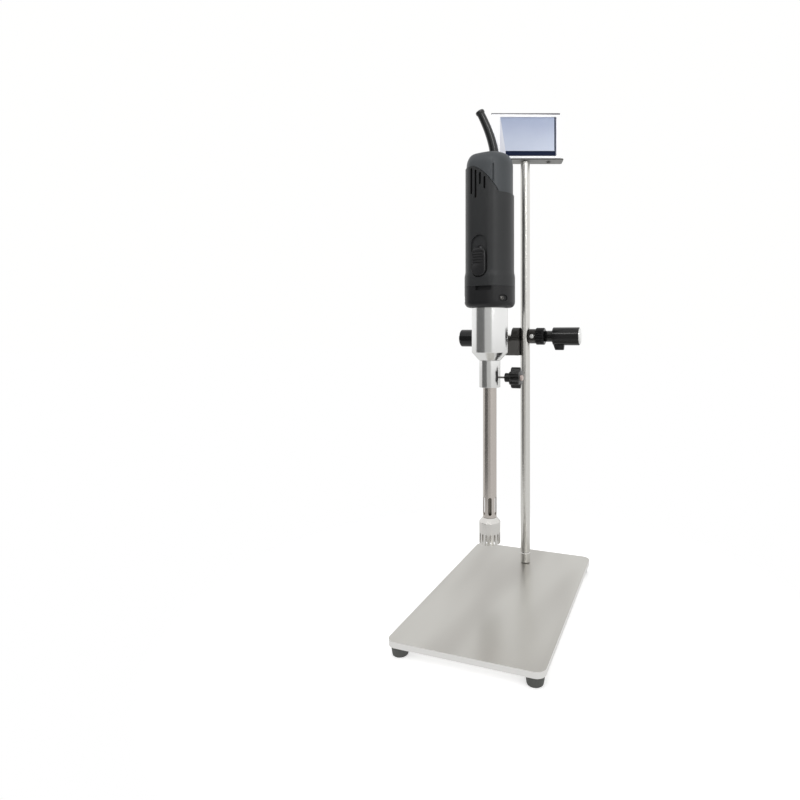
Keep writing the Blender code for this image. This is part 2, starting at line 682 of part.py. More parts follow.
def make_display_case(middle, front, back):
    case = upright(display_outline(0.0), 0, middle, front, back, WHITE_PLASTIC, "display_case")
    board_back = front + BOARD_SETBACK + BOARD_THICKNESS
    rear_wall = back - DISPLAY_WALL
    cut(case, upright(display_outline(DISPLAY_WALL), 0, middle, front - OVERRUN, rear_wall, None))
    inner_width = DISPLAY_WIDTH - 2 * DISPLAY_WALL
    inner_height = DISPLAY_HEIGHT - 2 * DISPLAY_WALL
    post_x = inner_width / 2 - BOARD_POST_INSET
    post_z = inner_height / 2 - BOARD_POST_INSET
    posts = []
    for x in (-post_x, post_x):
        for z in (middle - post_z, middle + post_z):
            posts.append(rod_tool(BOARD_POST_RADIUS, (x, board_back + GAP, z), (x, rear_wall + OVERRUN, z)))
    join(case, *posts)
    floor_top = display_bottom + DISPLAY_WALL
    below = display_bottom - OVERRUN
    above = floor_top + OVERRUN
    drills = [rod_tool(DISPLAY_SCREW_RADIUS + GAP, (x, 0, below), (x, 0, above)) for x in screw_places()]
    drills.append(rod_tool(TOP_SCREW_HEAD_RADIUS + 3 * GAP, (0, 0, below), (0, 0, above), COARSE))
    gland_z = display_bottom + GLAND_HEIGHT
    drills.append(rod_tool(GLAND_THREAD_RADIUS + GAP, (0, rear_wall - OVERRUN, gland_z),
                           (0, back + OVERRUN, gland_z), COARSE))
    cut(case, *drills)
    set_display(soften(case, EDGE))
    board_width = inner_width - 2 * BOARD_MARGIN
    board = rounded_rectangle(board_width, inner_height - 2 * BOARD_MARGIN, WINDOW_CORNER, 2)
    set_display(upright(board, 0, middle, board_back - BOARD_THICKNESS, board_back, BOARD_GREEN,
                        "display_board"))
    thread_end = rear_wall - GAP * 2 - back
    gland = turned("display_gland", [
        (GLAND_BORE_RADIUS, thread_end), (GLAND_THREAD_RADIUS, thread_end), (GLAND_THREAD_RADIUS, GAP),
        (GLAND_RADIUS, GAP), (GLAND_RADIUS, GLAND_LENGTH * 0.6), (GLAND_RADIUS * 0.6, GLAND_LENGTH),
        (GLAND_BORE_RADIUS, GLAND_LENGTH)], BLACK_PLASTIC, COARSE)
    gland.data.transform(Matrix.Translation((0, back, gland_z)) @ Matrix.Rotation(-math.pi / 2, 4, "X"))
    set_display(gland)
    head_top_z = tray_floor_bottom - GAP
    for side, x in zip(("left", "right"), screw_places()):
        screw = turned("display_screw_" + side, [
            (0, floor_top), (DISPLAY_SCREW_RADIUS, floor_top), (DISPLAY_SCREW_RADIUS, head_top_z),
            (DISPLAY_SCREW_HEAD_RADIUS, head_top_z),
            (DISPLAY_SCREW_HEAD_RADIUS, head_top_z - DISPLAY_SCREW_HEAD_HEIGHT / 2),
            (DISPLAY_SCREW_HEAD_RADIUS * 0.7, head_top_z - DISPLAY_SCREW_HEAD_HEIGHT),
            (0, head_top_z - DISPLAY_SCREW_HEAD_HEIGHT)], CHROME, SMALL)
        set_display(moved(screw, (x, 0, 0)))


# Clamp head: a cross barrel for the column and an open groove for the arm


def make_boss_head():
    groove = ROD_RADIUS + GAP
    left = -rod_wall_outer
    middle = -(ARM_OFFSET - groove)
    half = BOSS_DEPTH / 2
    floor_bottom = rod_z - BOSS_FLOOR_DROP
    block = box_tool((left, -half, floor_bottom), (0.0, half, rod_z))
    wall = box_tool((left, -half, rod_z - 2 * OVERRUN), (left + ROD_WALL, half, rod_z + ROD_WALL_RISE))
    jaw_end = COLUMN_RADIUS + JAW_WALL
    barrel = turned("boss_head", [
        (0, middle), (BARREL_RADIUS - BOSS_EDGE, middle), (BARREL_RADIUS, middle + BOSS_EDGE),
        (BARREL_RADIUS, 0), (JAW_RADIUS, 2 * BOSS_EDGE), (JAW_RADIUS, jaw_end - BOSS_EDGE),
        (JAW_RADIUS - BOSS_EDGE, jaw_end), (0, jaw_end)], BLACK_METAL, MEDIUM)
    barrel.data.transform(Matrix.Translation((0, 0, clamp_z)) @ Matrix.Rotation(math.pi / 2, 4, "Y"))
    join(barrel, block, wall)
    slot = COLUMN_RADIUS + GAP
    high = clamp_z + BARREL_RADIUS + 2 * OVERRUN
    low = floor_bottom - 2 * OVERRUN
    past = half + 2 * OVERRUN
    bore = CLAMP_SCREW_RADIUS + GAP
    flat_half = JAW_SCREW_HEAD_RADIUS * 1.2
    tools = [rod_tool(slot, (0, 0, low), (0, 0, high), FINE),
             box_tool((-slot, -past, low), (slot, 0.0, high)),
             rod_tool(groove, (-ARM_OFFSET, -past, rod_z), (-ARM_OFFSET, past, rod_z), FINE),
             box_tool((-ARM_OFFSET - groove, -past, rod_z), (-ARM_OFFSET + groove, past, high)),
             rod_tool(bore, (0, 0, clamp_z), (jaw_end + 2 * OVERRUN, 0, clamp_z), COARSE),
             rod_tool(bore, (left - 2 * OVERRUN, 0, rod_z), (-ARM_OFFSET, 0, rod_z), COARSE),
             rod_tool(JAW_SCREW_RADIUS + GAP, (jaw_middle(), -half, clamp_z),
                      (jaw_middle(), -jaw_seat() + JAW_SCREW_LENGTH + GAP, clamp_z)),
             box_tool((jaw_middle() - flat_half, -half, clamp_z - flat_half),
                      (jaw_end + OVERRUN, -jaw_seat(), clamp_z + flat_half))]
    cut(barrel, *tools)
    moved(barrel, (column_x, column_y, 0))
    seat = -jaw_seat() - GAP
    screw = turned("jaw_screw", [
        (0, -JAW_SCREW_LENGTH), (0, JAW_SCREW_HEAD_HEIGHT),
        (JAW_SCREW_HEAD_RADIUS * 0.75, JAW_SCREW_HEAD_HEIGHT),
        (JAW_SCREW_HEAD_RADIUS, JAW_SCREW_HEAD_HEIGHT * 0.6), (JAW_SCREW_HEAD_RADIUS, 0), (JAW_SCREW_RADIUS, 0),
        (JAW_SCREW_RADIUS, -JAW_SCREW_LENGTH)], CHROME, COARSE)
    place = Matrix.Translation((jaw_middle(), seat, clamp_z))
    screw.data.transform(place @ Matrix.Rotation(math.pi / 2, 4, "X"))
    moved(screw, (column_x, column_y, 0))


def jaw_middle():
    return COLUMN_RADIUS + JAW_WALL - JAW_SCREW_HEAD_RADIUS * 1.2 - GAP


def jaw_seat():
    return JAW_RADIUS - JAW_SCREW_SINK


def make_handle(prefix, tip, seat, sign, height):
    """A clamp handle along X: its screw tip at x = tip and its lock ring against x = seat."""
    def place(shape):
        turn = Matrix.Rotation(sign * math.pi / 2, 4, "Y")
        shape.data.transform(Matrix.Translation((column_x, column_y, height)) @ turn)
        return shape

    start = abs(seat) + GAP
    ring_end = start + LOCK_RING_LENGTH
    neck_start = ring_end + GAP
    neck_end = neck_start + NECK_LENGTH
    grip_end = neck_end + GRIP_LENGTH
    bore = CLAMP_SCREW_RADIUS + GAP
    screw_end = neck_end + CLAMP_SCREW_BITE
    screw_tip = abs(tip) + GAP
    place(turned(prefix + "_screw", [
        (0, screw_tip), (0, screw_end), (CLAMP_SCREW_RADIUS, screw_end), (CLAMP_SCREW_RADIUS, screw_tip + EDGE),
        (CLAMP_SCREW_RADIUS - EDGE, screw_tip)], CHROME, COARSE))
    knurl = toothed_circle(LOCK_RING_RADIUS, LOCK_RING_GROOVE, LOCK_RING_GROOVES)
    ring = prism(prefix + "_lock_ring", knurl, start, ring_end, BLACK_PLASTIC)
    place(cut(ring, rod_tool(bore, (0, 0, start - OVERRUN), (0, 0, ring_end + OVERRUN), COARSE)))
    cap_seat = grip_end - GRIP_CAP_THICKNESS + GRIP_CAP_PROUD
    grip = turned(prefix + "_grip", [
        (bore, neck_start), (NECK_RADIUS, neck_start), (NECK_RADIUS, neck_end - EDGE),
        (GRIP_RADIUS - EDGE, neck_end), (GRIP_RADIUS, neck_end + EDGE),
        (GRIP_RADIUS, grip_end - EDGE), (GRIP_RADIUS - EDGE, grip_end),
        (GRIP_CAP_RADIUS + GAP, grip_end), (GRIP_CAP_RADIUS + GAP, cap_seat), (0, cap_seat),
        (0, screw_end + GAP), (bore, screw_end + GAP)], BLACK_PLASTIC, MEDIUM)
    foot = GRIP_RADIUS - 2 * OVERRUN
    lug_low = neck_end
    lug_high = neck_end + LUG_LENGTH
    half = LUG_WIDTH / 2
    outer = GRIP_RADIUS + LUG_HEIGHT
    lug = loft("lug", [
        [(foot * sign, -half, lug_low), (foot * sign, half, lug_low), (foot * sign, half, lug_high),
         (foot * sign, -half, lug_high)],
        [(outer * sign, -half * 0.8, lug_low + LUG_TAPER), (outer * sign, half * 0.8, lug_low + LUG_TAPER),
         (outer * sign, half * 0.8, lug_high - LUG_TAPER / 3),
         (outer * sign, -half * 0.8, lug_high - LUG_TAPER / 3)]], None)
    place(join(grip, lug))
    cap_start = cap_seat + GAP
    cap_end = cap_start + GRIP_CAP_THICKNESS
    place(turned(prefix + "_cap", [
        (0, cap_start), (0, cap_end), (GRIP_CAP_RADIUS - EDGE, cap_end), (GRIP_CAP_RADIUS, cap_end - EDGE),
        (GRIP_CAP_RADIUS, cap_start)], CHROME, MEDIUM))


def make_clamp():
    make_boss_head()
    make_handle("column_clamp", COLUMN_RADIUS, COLUMN_RADIUS + JAW_WALL, 1, clamp_z)
    make_handle("arm_clamp", ARM_OFFSET + ROD_RADIUS, rod_wall_outer, -1, rod_z)


# Arm, nose and dispersing tool, built round the tool's own axis


def set_tool(shape, turn=0.0):
    return moved(shape, (tool_x, tool_y, 0), turn)


def along_y(shape, height):
    """Lay a piece turned round Z along +Y at a height."""
    shape.data.transform(Matrix.Translation((0, 0, height)) @ Matrix.Rotation(-math.pi / 2, 4, "X"))
    return shape


def along_x(shape, height):
    shape.data.transform(Matrix.Translation((0, 0, height)) @ Matrix.Rotation(math.pi / 2, 4, "Y"))
    return shape


def make_arm():
    start = SLEEVE_RADIUS + GAP
    end = ARM_REACH + BOSS_DEPTH / 2 + ARM_TAIL
    rod = turned("arm_rod", [
        (0, sleeve_bore + GAP), (0, end),
        (ROD_RADIUS - COLUMN_CHAMFER, end), (ROD_RADIUS, end - COLUMN_CHAMFER),
        (ROD_RADIUS, start), (ARM_SPIGOT_RADIUS, start), (ARM_SPIGOT_RADIUS, sleeve_bore + GAP)], CHROME, FINE)
    set_tool(along_y(rod, rod_z))


def make_sleeve():
    outlet = COLLAR_SPIGOT_RADIUS + GAP
    sleeve = turned("motor_sleeve", [
        (sleeve_bore, sleeve_top), (SLEEVE_RADIUS - SMALL_EDGE, sleeve_top),
        (SLEEVE_RADIUS, sleeve_top - SMALL_EDGE), (SLEEVE_RADIUS, sleeve_shoulder),
        (COLLAR_RADIUS + COLLAR_SHOULDER, sleeve_bottom), (outlet, sleeve_bottom),
        (outlet, sleeve_floor_top), (sleeve_bore, sleeve_floor_top)], ALUMINIUM, FINE)
    spot_z = rod_z + SLEEVE_SPOT_RISE
    past = SLEEVE_RADIUS + 2 * OVERRUN
    spot_floor = SLEEVE_RADIUS - SLEEVE_SPOT_DEPTH
    arm_hole = rod_tool(ARM_SPIGOT_RADIUS + GAP, (0, sleeve_bore - 2 * OVERRUN, rod_z), (0, past, rod_z), COARSE)
    spot = rod_tool(SLEEVE_SPOT_RADIUS, (spot_floor, 0, spot_z), (past, 0, spot_z), COARSE)
    cut(sleeve, arm_hole, spot)
    set_tool(sleeve)


def make_collar():
    tube_seat = TUBE_RADIUS + GAP
    bore_end = tube_top + GAP
    collar = turned("tool_collar", [
        (tube_seat, collar_bottom), (COLLAR_RADIUS - SMALL_EDGE, collar_bottom),
        (COLLAR_RADIUS, collar_bottom + SMALL_EDGE), (COLLAR_RADIUS, collar_top),
        (COLLAR_SPIGOT_RADIUS, collar_top), (COLLAR_SPIGOT_RADIUS, collar_spigot_top),
        (COLLAR_SHAFT_BORE, collar_spigot_top), (COLLAR_SHAFT_BORE, bore_end), (tube_seat, bore_end)],
        ALUMINIUM, FINE)
    past = COLLAR_RADIUS + 2 * OVERRUN
    spot_floor = COLLAR_RADIUS - COLLAR_SPOT_DEPTH
    spot = rod_tool(COLLAR_SPOT_RADIUS, (spot_floor, 0, star_z), (past, 0, star_z), MEDIUM)
    star_hole = rod_tool(STAR_SCREW_RADIUS + GAP, (TUBE_RADIUS - 2 * OVERRUN, 0, star_z), (past, 0, star_z))
    cut(collar, spot, star_hole)
    set_tool(collar)


def make_star():
    hub_start = COLLAR_RADIUS + STAR_STANDOFF
    star_start = hub_start + STAR_HUB_LENGTH
    star_end = star_start + STAR_LENGTH
    tip = TUBE_RADIUS + GAP
    screw_end = star_start
    screw = turned("star_screw", [
        (0, tip), (0, screw_end), (STAR_SCREW_RADIUS, screw_end), (STAR_SCREW_RADIUS, tip + SMALL_EDGE),
        (STAR_SCREW_RADIUS - SMALL_EDGE, tip)], CHROME, SMALL)
    set_tool(along_x(screw, star_z))
    steps = STAR_LOBES * 6
    outline = []
    for i in range(steps):
        wave = (1 + math.cos(STAR_LOBES * math.tau * i / steps)) / 2
        reach = STAR_VALLEY_RADIUS + (STAR_RADIUS - STAR_VALLEY_RADIUS) * wave ** 0.6
        outline.append((reach * math.cos(math.tau * i / steps), reach * math.sin(math.tau * i / steps)))
    rings = [[(x * k, y * k, z) for x, y in outline] for k, z in
             ((0.92, star_start), (1.0, star_start + STAR_EDGE), (1.0, star_end - STAR_EDGE), (0.92, star_end))]
    star = loft("star_knob", rings, BLACK_PLASTIC)
    join(star, rod_tool(STAR_HUB_RADIUS, (0, 0, hub_start), (0, 0, star_start + STAR_EDGE), COARSE))
    cap_seat = star_end - STAR_CAP_LENGTH + STAR_CAP_PROUD
    cut(star, rod_tool(STAR_SCREW_RADIUS + GAP, (0, 0, hub_start - OVERRUN), (0, 0, screw_end + GAP)),
        rod_tool(STAR_CAP_RADIUS + GAP, (0, 0, cap_seat), (0, 0, star_end + OVERRUN), COARSE))
    set_tool(along_x(star, star_z))
    cap_start = cap_seat + GAP
    cap_end = cap_start + STAR_CAP_LENGTH
    cap = turned("star_cap", [
        (0, cap_start), (0, cap_end), (STAR_CAP_RADIUS - EDGE, cap_end), (STAR_CAP_RADIUS, cap_end - EDGE),
        (STAR_CAP_RADIUS, cap_start)], SALMON, COARSE)
    set_tool(along_x(cap, star_z))


def make_tube():
    tube = turned("outer_tube", [
        (tube_bore, tube_bottom), (TUBE_RADIUS, tube_bottom), (TUBE_RADIUS, tube_top), (tube_bore, tube_top)],
        STEEL, MEDIUM)
    low = tube_bottom + WINDOW_SLOT_RISE
    slot = rounded_rectangle(WINDOW_SLOT_WIDTH, WINDOW_SLOT_LENGTH, WINDOW_SLOT_WIDTH * 0.45, 3)
    reach = TUBE_RADIUS + 2 * OVERRUN
    slots = []
    for i in range(TUBE_WINDOWS // 2):
        slab = upright(slot, 0, low + WINDOW_SLOT_LENGTH / 2, -reach, reach, None)
        slots.append(moved(slab, turn=math.tau * i / TUBE_WINDOWS))
    set_tool(cut(tube, *slots), TUBE_TURN)


def make_stator_head():
    flare_bottom = head_top - HEAD_FLARE
    roof = flare_bottom - HEAD_TOP_WALL
    shaft_bore = SHAFT_RADIUS + 2 * GAP
    spigot = tube_bore - GAP
    head = turned("stator_head", [
        (head_bore, head_bottom), (HEAD_RADIUS - SMALL_EDGE, head_bottom),
        (HEAD_RADIUS, head_bottom + SMALL_EDGE), (HEAD_RADIUS, flare_bottom),
        (TUBE_RADIUS, head_top), (spigot, head_top), (spigot, head_top + HEAD_SPIGOT),
        (shaft_bore, head_top + HEAD_SPIGOT), (shaft_bore, roof), (head_bore, roof)], STEEL, FINE)
    slots = []
    reach = HEAD_RADIUS + 2 * OVERRUN
    for i in range(TOOTH_SLOTS // 2):
        slab = box_tool((-TOOTH_SLOT_WIDTH / 2, -reach, head_bottom - 2 * OVERRUN),
                        (TOOTH_SLOT_WIDTH / 2, reach, head_bottom + TOOTH_SLOT_LENGTH))
        slots.append(moved(slab, turn=math.tau * i / TOOTH_SLOTS))
    set_tool(cut(head, *slots))


def make_bushes():
    inner = SHAFT_RADIUS + GAP
    outer = tube_bore - GAP
    lower = tube_bottom + WINDOW_SLOT_RISE + WINDOW_SLOT_LENGTH + LOWER_BUSH_RISE
    upper = tube_top - UPPER_BUSH_DROP - BUSH_LENGTH
    for name, bottom in (("lower_bush", lower), ("upper_bush", upper)):
        top = bottom + BUSH_LENGTH
        bush = turned(name, [(inner, bottom), (outer, bottom), (outer, top), (inner, top)], WHITE_BUSH, COARSE)
        set_tool(bush)


def make_rotor():
    bottom = head_bottom + ROTOR_RECESS
    top = bottom + ROTOR_HEIGHT
    radius = head_bore - ROTOR_CLEARANCE
    bore = SHAFT_END_RADIUS + GAP
    rotor = turned("rotor", [(bore, bottom), (ROTOR_HUB_RADIUS, bottom), (ROTOR_HUB_RADIUS, top), (bore, top)],
                   STEEL, COARSE)
    blades = []
    for i in range(ROTOR_BLADES):
        blade = box_tool((ROTOR_HUB_RADIUS - EDGE, -ROTOR_BLADE / 2, bottom), (radius, ROTOR_BLADE / 2, top))
        blades.append(moved(blade, turn=math.tau * i / ROTOR_BLADES))
    set_tool(join(rotor, *blades), math.radians(11))
    neck = top + GAP
    end = head_bottom + SHAFT_END_RISE
    shaft = turned("drive_shaft", [
        (0, end), (SHAFT_END_RADIUS, end), (SHAFT_END_RADIUS, neck), (SHAFT_RADIUS, neck),
        (SHAFT_RADIUS, drive_shaft_top), (0, drive_shaft_top)], STEEL, COARSE)
    set_tool(shaft)
    bore = SHAFT_RADIUS + GAP
    high = coupling_bottom + COUPLING_LENGTH
    coupling = turned("shaft_coupling", [
        (bore, coupling_bottom), (COUPLING_RADIUS - EDGE, coupling_bottom),
        (COUPLING_RADIUS, coupling_bottom + EDGE), (COUPLING_RADIUS, high - EDGE),
        (COUPLING_RADIUS - EDGE, high), (bore, high)], BLACK_METAL, COARSE)
    set_tool(coupling)


# Motor housing, in its own axes with the switch towards -Y


def housing_ring(radius, height):
    """A round section with one soft flat at the front."""
    flat = HOUSING_FLAT * radius / HOUSING_RADIUS
    sharpness = 20
    ring = []
    for i in range(FINE):
        angle = math.tau * i / FINE
        facing = max(-math.sin(angle), 0.0)
        reach = (radius ** -sharpness + (facing / flat) ** sharpness) ** (-1 / sharpness)
        ring.append((reach * math.cos(angle), reach * math.sin(angle), height))
    return ring


def housing_loft(name, radius, look):
    wide = radius + HOUSING_FLARE
    round_start = housing_top - CAP_ROUND_HEIGHT
    low = body_bottom + BODY_LOW_RISE
    rings = [housing_ring(wide, body_bottom), housing_ring(wide, low),
             housing_ring(radius, low + BODY_LOW_BLEND), housing_ring(radius, round_start - CAP_ROUND_BLEND)]
    steps = 5
    for i in range(1, steps + 1):
        angle = math.radians(90) * i / steps
        reach = CAP_TOP_RADIUS + (radius - CAP_TOP_RADIUS) * math.cos(angle) ** 0.9
        rings.append(housing_ring(reach, round_start + CAP_ROUND_HEIGHT * math.sin(angle) ** 1.15))
    return loft(name, rings, look)


def tongue_height(x):
    """Height of the line between body and cap, level at the right and rising to the left."""
    reach = min(max((x - TONGUE_RIGHT + TONGUE_SHOULDER) / TONGUE_SHOULDER, 0.0), 1.0)
    return cap_line + TONGUE_ABOVE_CAP_LINE * (1 - reach ** TONGUE_POWER) ** (1 / TONGUE_POWER)


def below_cap_line(extra=0.0):
    far = HOUSING_RADIUS * 2
    outline = [(-far, body_bottom - 0.010), (far, body_bottom - 0.010), (far, cap_line + extra)]
    steps = 8
    for i in range(steps + 1):
        angle = math.radians(90) * i / steps
        across = max(math.cos(angle), 0.0) ** (2 / TONGUE_POWER)
        rise = math.sin(angle) ** (2 / TONGUE_POWER)
        outline.append((TONGUE_RIGHT - TONGUE_SHOULDER * (1 - across) + extra,
                        cap_line + TONGUE_ABOVE_CAP_LINE * rise + extra))
    outline.append((-far, tongue_top + extra))
    return upright(outline, 0, 0, -far, far, None)


def set_motor(shape):
    return set_tool(shape, MOTOR_TURN)


def switch_middle():
    return body_bottom + SWITCH_RECESS_RISE + SWITCH_RECESS_HEIGHT / 2


def slider_bottom():
    return body_bottom + SWITCH_RECESS_RISE + SWITCH_RISE


def make_motor_body():
    body = housing_loft("motor_body", HOUSING_RADIUS, BLACK_PLASTIC)
    combine(body, below_cap_line(), "INTERSECT")
    above = tongue_top + 2 * OVERRUN
    outside = -HOUSING_RADIUS - 2 * OVERRUN
    tools = [rod_tool(HOUSING_BORE, (0, 0, body_bottom - OVERRUN), (0, 0, above), FINE)]
    for i in range(VENT_COUNT):
        x = i * VENT_PITCH - VENT_LEFT
        top = tongue_height(x + VENT_WIDTH / 2) - VENT_TOP_DROP
        bottom = cap_line - VENT_BOTTOM_DROP - VENT_BOTTOM_STEP * (i % 2)
        if i >= VENT_COUNT // 2:
            bottom += VENT_SHORT_RISE
        slot = rounded_rectangle(VENT_WIDTH, top - bottom, VENT_WIDTH * 0.45, 2)
        tools.append(upright(slot, x, (top + bottom) / 2, outside, -HOUSING_BORE * 0.7, None))
    recess = rounded_rectangle(SWITCH_RECESS_WIDTH, SWITCH_RECESS_HEIGHT, SWITCH_RECESS_WIDTH * 0.499, 6)
    floor = -(HOUSING_FLAT - SWITCH_RECESS_DEPTH)
    tools.append(upright(recess, 0, switch_middle(), outside - 2 * OVERRUN, floor, None))
    stem_low = slider_bottom() + (SWITCH_HEIGHT - SWITCH_STEM_HEIGHT) / 2 - GAP
    stem_high = stem_low + SWITCH_STEM_HEIGHT + SWITCH_TRAVEL + 3 * GAP
    half = SWITCH_STEM_WIDTH / 2 + GAP
    tools.append(box_tool((-half, floor - OVERRUN, stem_low), (half, -HOUSING_BORE + 2 * OVERRUN, stem_high)))
    set_motor(cut(body, *tools))


def make_motor_cap():
    cap_radius = HOUSING_RADIUS - CAP_INSET
    cap = housing_loft("motor_cap", cap_radius, GREY_PLASTIC)
    roof = housing_top - CAP_TOP_WALL
    seat = BEARING_RADIUS + GAP
    ring = seat + BEARING_SEAT_WALL
    ring_bottom = rear_bearing_top - BEARING_HEIGHT
    cavity = turned("cavity", [
        (0, body_bottom - OVERRUN), (HOUSING_BORE, body_bottom - OVERRUN), (HOUSING_BORE, roof), (ring, roof),
        (ring, ring_bottom), (seat, ring_bottom), (seat, roof), (0, roof)], None, FINE)
    lean = Vector((math.cos(BOOT_TURN - MOTOR_TURN), math.sin(BOOT_TURN - MOTOR_TURN), 0))
    pocket = -lean * BOOT_OFFSET
    groove_low = tongue_height(CAP_GROOVE_X) + 2 * EDGE
    groove_y = -math.sqrt(cap_radius ** 2 - CAP_GROOVE_X ** 2)
    groove_top = groove_low + CAP_GROOVE_LENGTH
    half = CAP_GROOVE_WIDTH / 2
    cut(cap, below_cap_line(GAP), cavity,
        rod_tool(BOOT_BASE_RADIUS + GAP, (pocket.x, pocket.y, housing_top - BOOT_SEAT_DEPTH),
                 (pocket.x, pocket.y, housing_top + 2 * OVERRUN), COARSE),
        box_tool((CAP_GROOVE_X - half, groove_y - 6 * OVERRUN, groove_low),
                 (CAP_GROOVE_X + half, groove_y + CAP_GROOVE_DEPTH, groove_top)))
    set_motor(cap)


def make_nose_band():
    wide = HOUSING_RADIUS + HOUSING_FLARE
    rings = []
    steps = 4
    for i in range(steps + 1):
        angle = math.radians(90) * i / steps
        rings.append(housing_ring(wide - NOSE_ROUND * 0.7 * (1 - math.sin(angle)),
                                  nose_bottom + NOSE_ROUND * (1 - math.cos(angle))))
    rings.append(housing_ring(wide, nose_top))
    band = loft("motor_nose", rings, BLACK_PLASTIC)
    neck_bottom = nose_bottom - NOSE_NECK_LENGTH
    join(band, rod_tool(sleeve_bore - GAP, (0, 0, neck_bottom), (0, 0, nose_bottom + NOSE_FLOOR), FINE))
    seat = BEARING_RADIUS + GAP
    web_bottom = nose_bottom - NECK_WALL_HEIGHT
    ledge_top = front_bearing_bottom - GAP
    inside = turned("inside", [
        (0, neck_bottom - OVERRUN), (NOSE_NECK_CAVITY, neck_bottom - OVERRUN), (NOSE_NECK_CAVITY, web_bottom),
        (BEARING_RADIUS - NOSE_LEDGE, web_bottom), (BEARING_RADIUS - NOSE_LEDGE, ledge_top), (seat, ledge_top),
        (seat, nose_bottom + NOSE_FLOOR), (HOUSING_BORE, nose_bottom + NOSE_FLOOR),
        (HOUSING_BORE, nose_top + OVERRUN), (0, nose_top + OVERRUN)], None, FINE)
    slot = box_tool((SEAM_SLOT_X - SEAM_SLOT_WIDTH / 2, -wide - 2 * OVERRUN, nose_top - SEAM_SLOT_HEIGHT),
                    (SEAM_SLOT_X + SEAM_SLOT_WIDTH / 2, -HOUSING_FLAT + SEAM_SLOT_DEPTH, nose_top + OVERRUN))
    tools = [inside, slot]
    floor = wide - NOSE_RECESS_DEPTH
    screw_z = nose_bottom + NOSE_SCREW_RISE
    for side in (-1, 1):
        oval = [(NOSE_RECESS_HALF_WIDTH * math.cos(math.tau * i / COARSE),
                 NOSE_RECESS_HALF_HEIGHT * math.sin(math.tau * i / COARSE)) for i in range(COARSE)]
        turn = side * NOSE_SCREW_ANGLE
        tools.append(moved(upright(oval, 0, screw_z, -wide - 4 * OVERRUN, -floor, None), turn=turn))
        drill = rod_tool(NOSE_SCREW_RADIUS + GAP, (0, -floor - OVERRUN, screw_z),
                         (0, -floor + NOSE_SCREW_LENGTH + GAP, screw_z))
        tools.append(moved(drill, turn=turn))
    set_motor(cut(band, *tools))
    for name, side in (("left", -1), ("right", 1)):
        screw = turned("nose_screw_" + name, [
            (0, -NOSE_SCREW_LENGTH), (0, NOSE_SCREW_HEAD_HEIGHT),
            (NOSE_SCREW_HEAD_RADIUS * 0.7, NOSE_SCREW_HEAD_HEIGHT), (NOSE_SCREW_HEAD_RADIUS, GAP * 2),
            (NOSE_SCREW_HEAD_RADIUS, 0), (NOSE_SCREW_RADIUS, 0), (NOSE_SCREW_RADIUS, -NOSE_SCREW_LENGTH)],
            CHROME, SMALL)
        place = Matrix.Translation((0, -floor - GAP, screw_z)) @ Matrix.Rotation(math.pi / 2, 4, "X")
        screw.data.transform(place)
        set_motor(moved(screw, turn=side * NOSE_SCREW_ANGLE))


def make_switch():
    floor = -(HOUSING_FLAT - SWITCH_RECESS_DEPTH)
    bottom = slider_bottom()
    middle = bottom + SWITCH_HEIGHT / 2
    outer = -(HOUSING_FLAT + SWITCH_PROUD)
    outline = rounded_rectangle(SWITCH_WIDTH, SWITCH_HEIGHT, SWITCH_CORNER, 4)
    slider = upright(outline, 0, middle, outer, floor - GAP, BLACK_PLASTIC, "switch_slider")
    soften(slider, SWITCH_RIB_DEPTH)
    join(slider, box_tool((-SWITCH_STEM_WIDTH / 2, floor - OVERRUN, middle - SWITCH_STEM_HEIGHT / 2),
                          (SWITCH_STEM_WIDTH / 2, floor + SWITCH_STEM_DEPTH, middle + SWITCH_STEM_HEIGHT / 2)))
    grooves = []
    for i in range(SWITCH_RIBS):
        z = middle + SWITCH_RIB_PITCH * (i - SWITCH_RIBS / 2 + 2)
        grooves.append(box_tool((-SWITCH_WIDTH * 0.38, outer - 2 * OVERRUN, z - SWITCH_RIB_PITCH * 0.22),
                                (SWITCH_WIDTH * 0.38, outer + SWITCH_RIB_DEPTH, z + SWITCH_RIB_PITCH * 0.22)))
    set_motor(cut(slider, *grooves))


def make_boot():
    lean = Vector((math.cos(BOOT_TURN), math.sin(BOOT_TURN), 0))
    side = Vector((-lean.y, lean.x, 0))
    up = Vector((0, 0, 1))
    base = up * housing_top - lean * BOOT_OFFSET
    sides = 12

    def ring(share, radius, slide=0.0):
        share = max(share, 0.0)
        centre = base + up * BOOT_HEIGHT * share + lean * BOOT_LEAN * share ** BOOT_BEND
        slope = BOOT_LEAN * BOOT_BEND * share ** (BOOT_BEND - 1)
        forward = (up * BOOT_HEIGHT + lean * slope).normalized()
        across = side.cross(forward)
        centre = centre + forward * slide
        return [centre + (side * x + across * y) for x, y in circle(radius, sides)]

    rim = BOOT_RIM_LENGTH / BOOT_HEIGHT
    steps = 7
    rings = [ring(0.0, BOOT_BASE_RADIUS, GAP - BOOT_SEAT_DEPTH)]
    for i in range(steps + 1):
        share = (1 - rim) * i / steps
        rings.append(ring(share, BOOT_BASE_RADIUS + (BOOT_TIP_RADIUS - BOOT_BASE_RADIUS) * share))
    rings.append(ring(1 - rim, BOOT_RIM_RADIUS, BOOT_RIM_LENGTH * 0.3))
    rings.append(ring(1.0, BOOT_RIM_RADIUS))
    rings.append(ring(1.0, BOOT_MOUTH_RADIUS))
    rings.append(ring(1.0, BOOT_MOUTH_RADIUS * 0.9, -BOOT_MOUTH_DEPTH))
    set_tool(loft("cord_boot", rings, RUBBER))


# Inside the motor


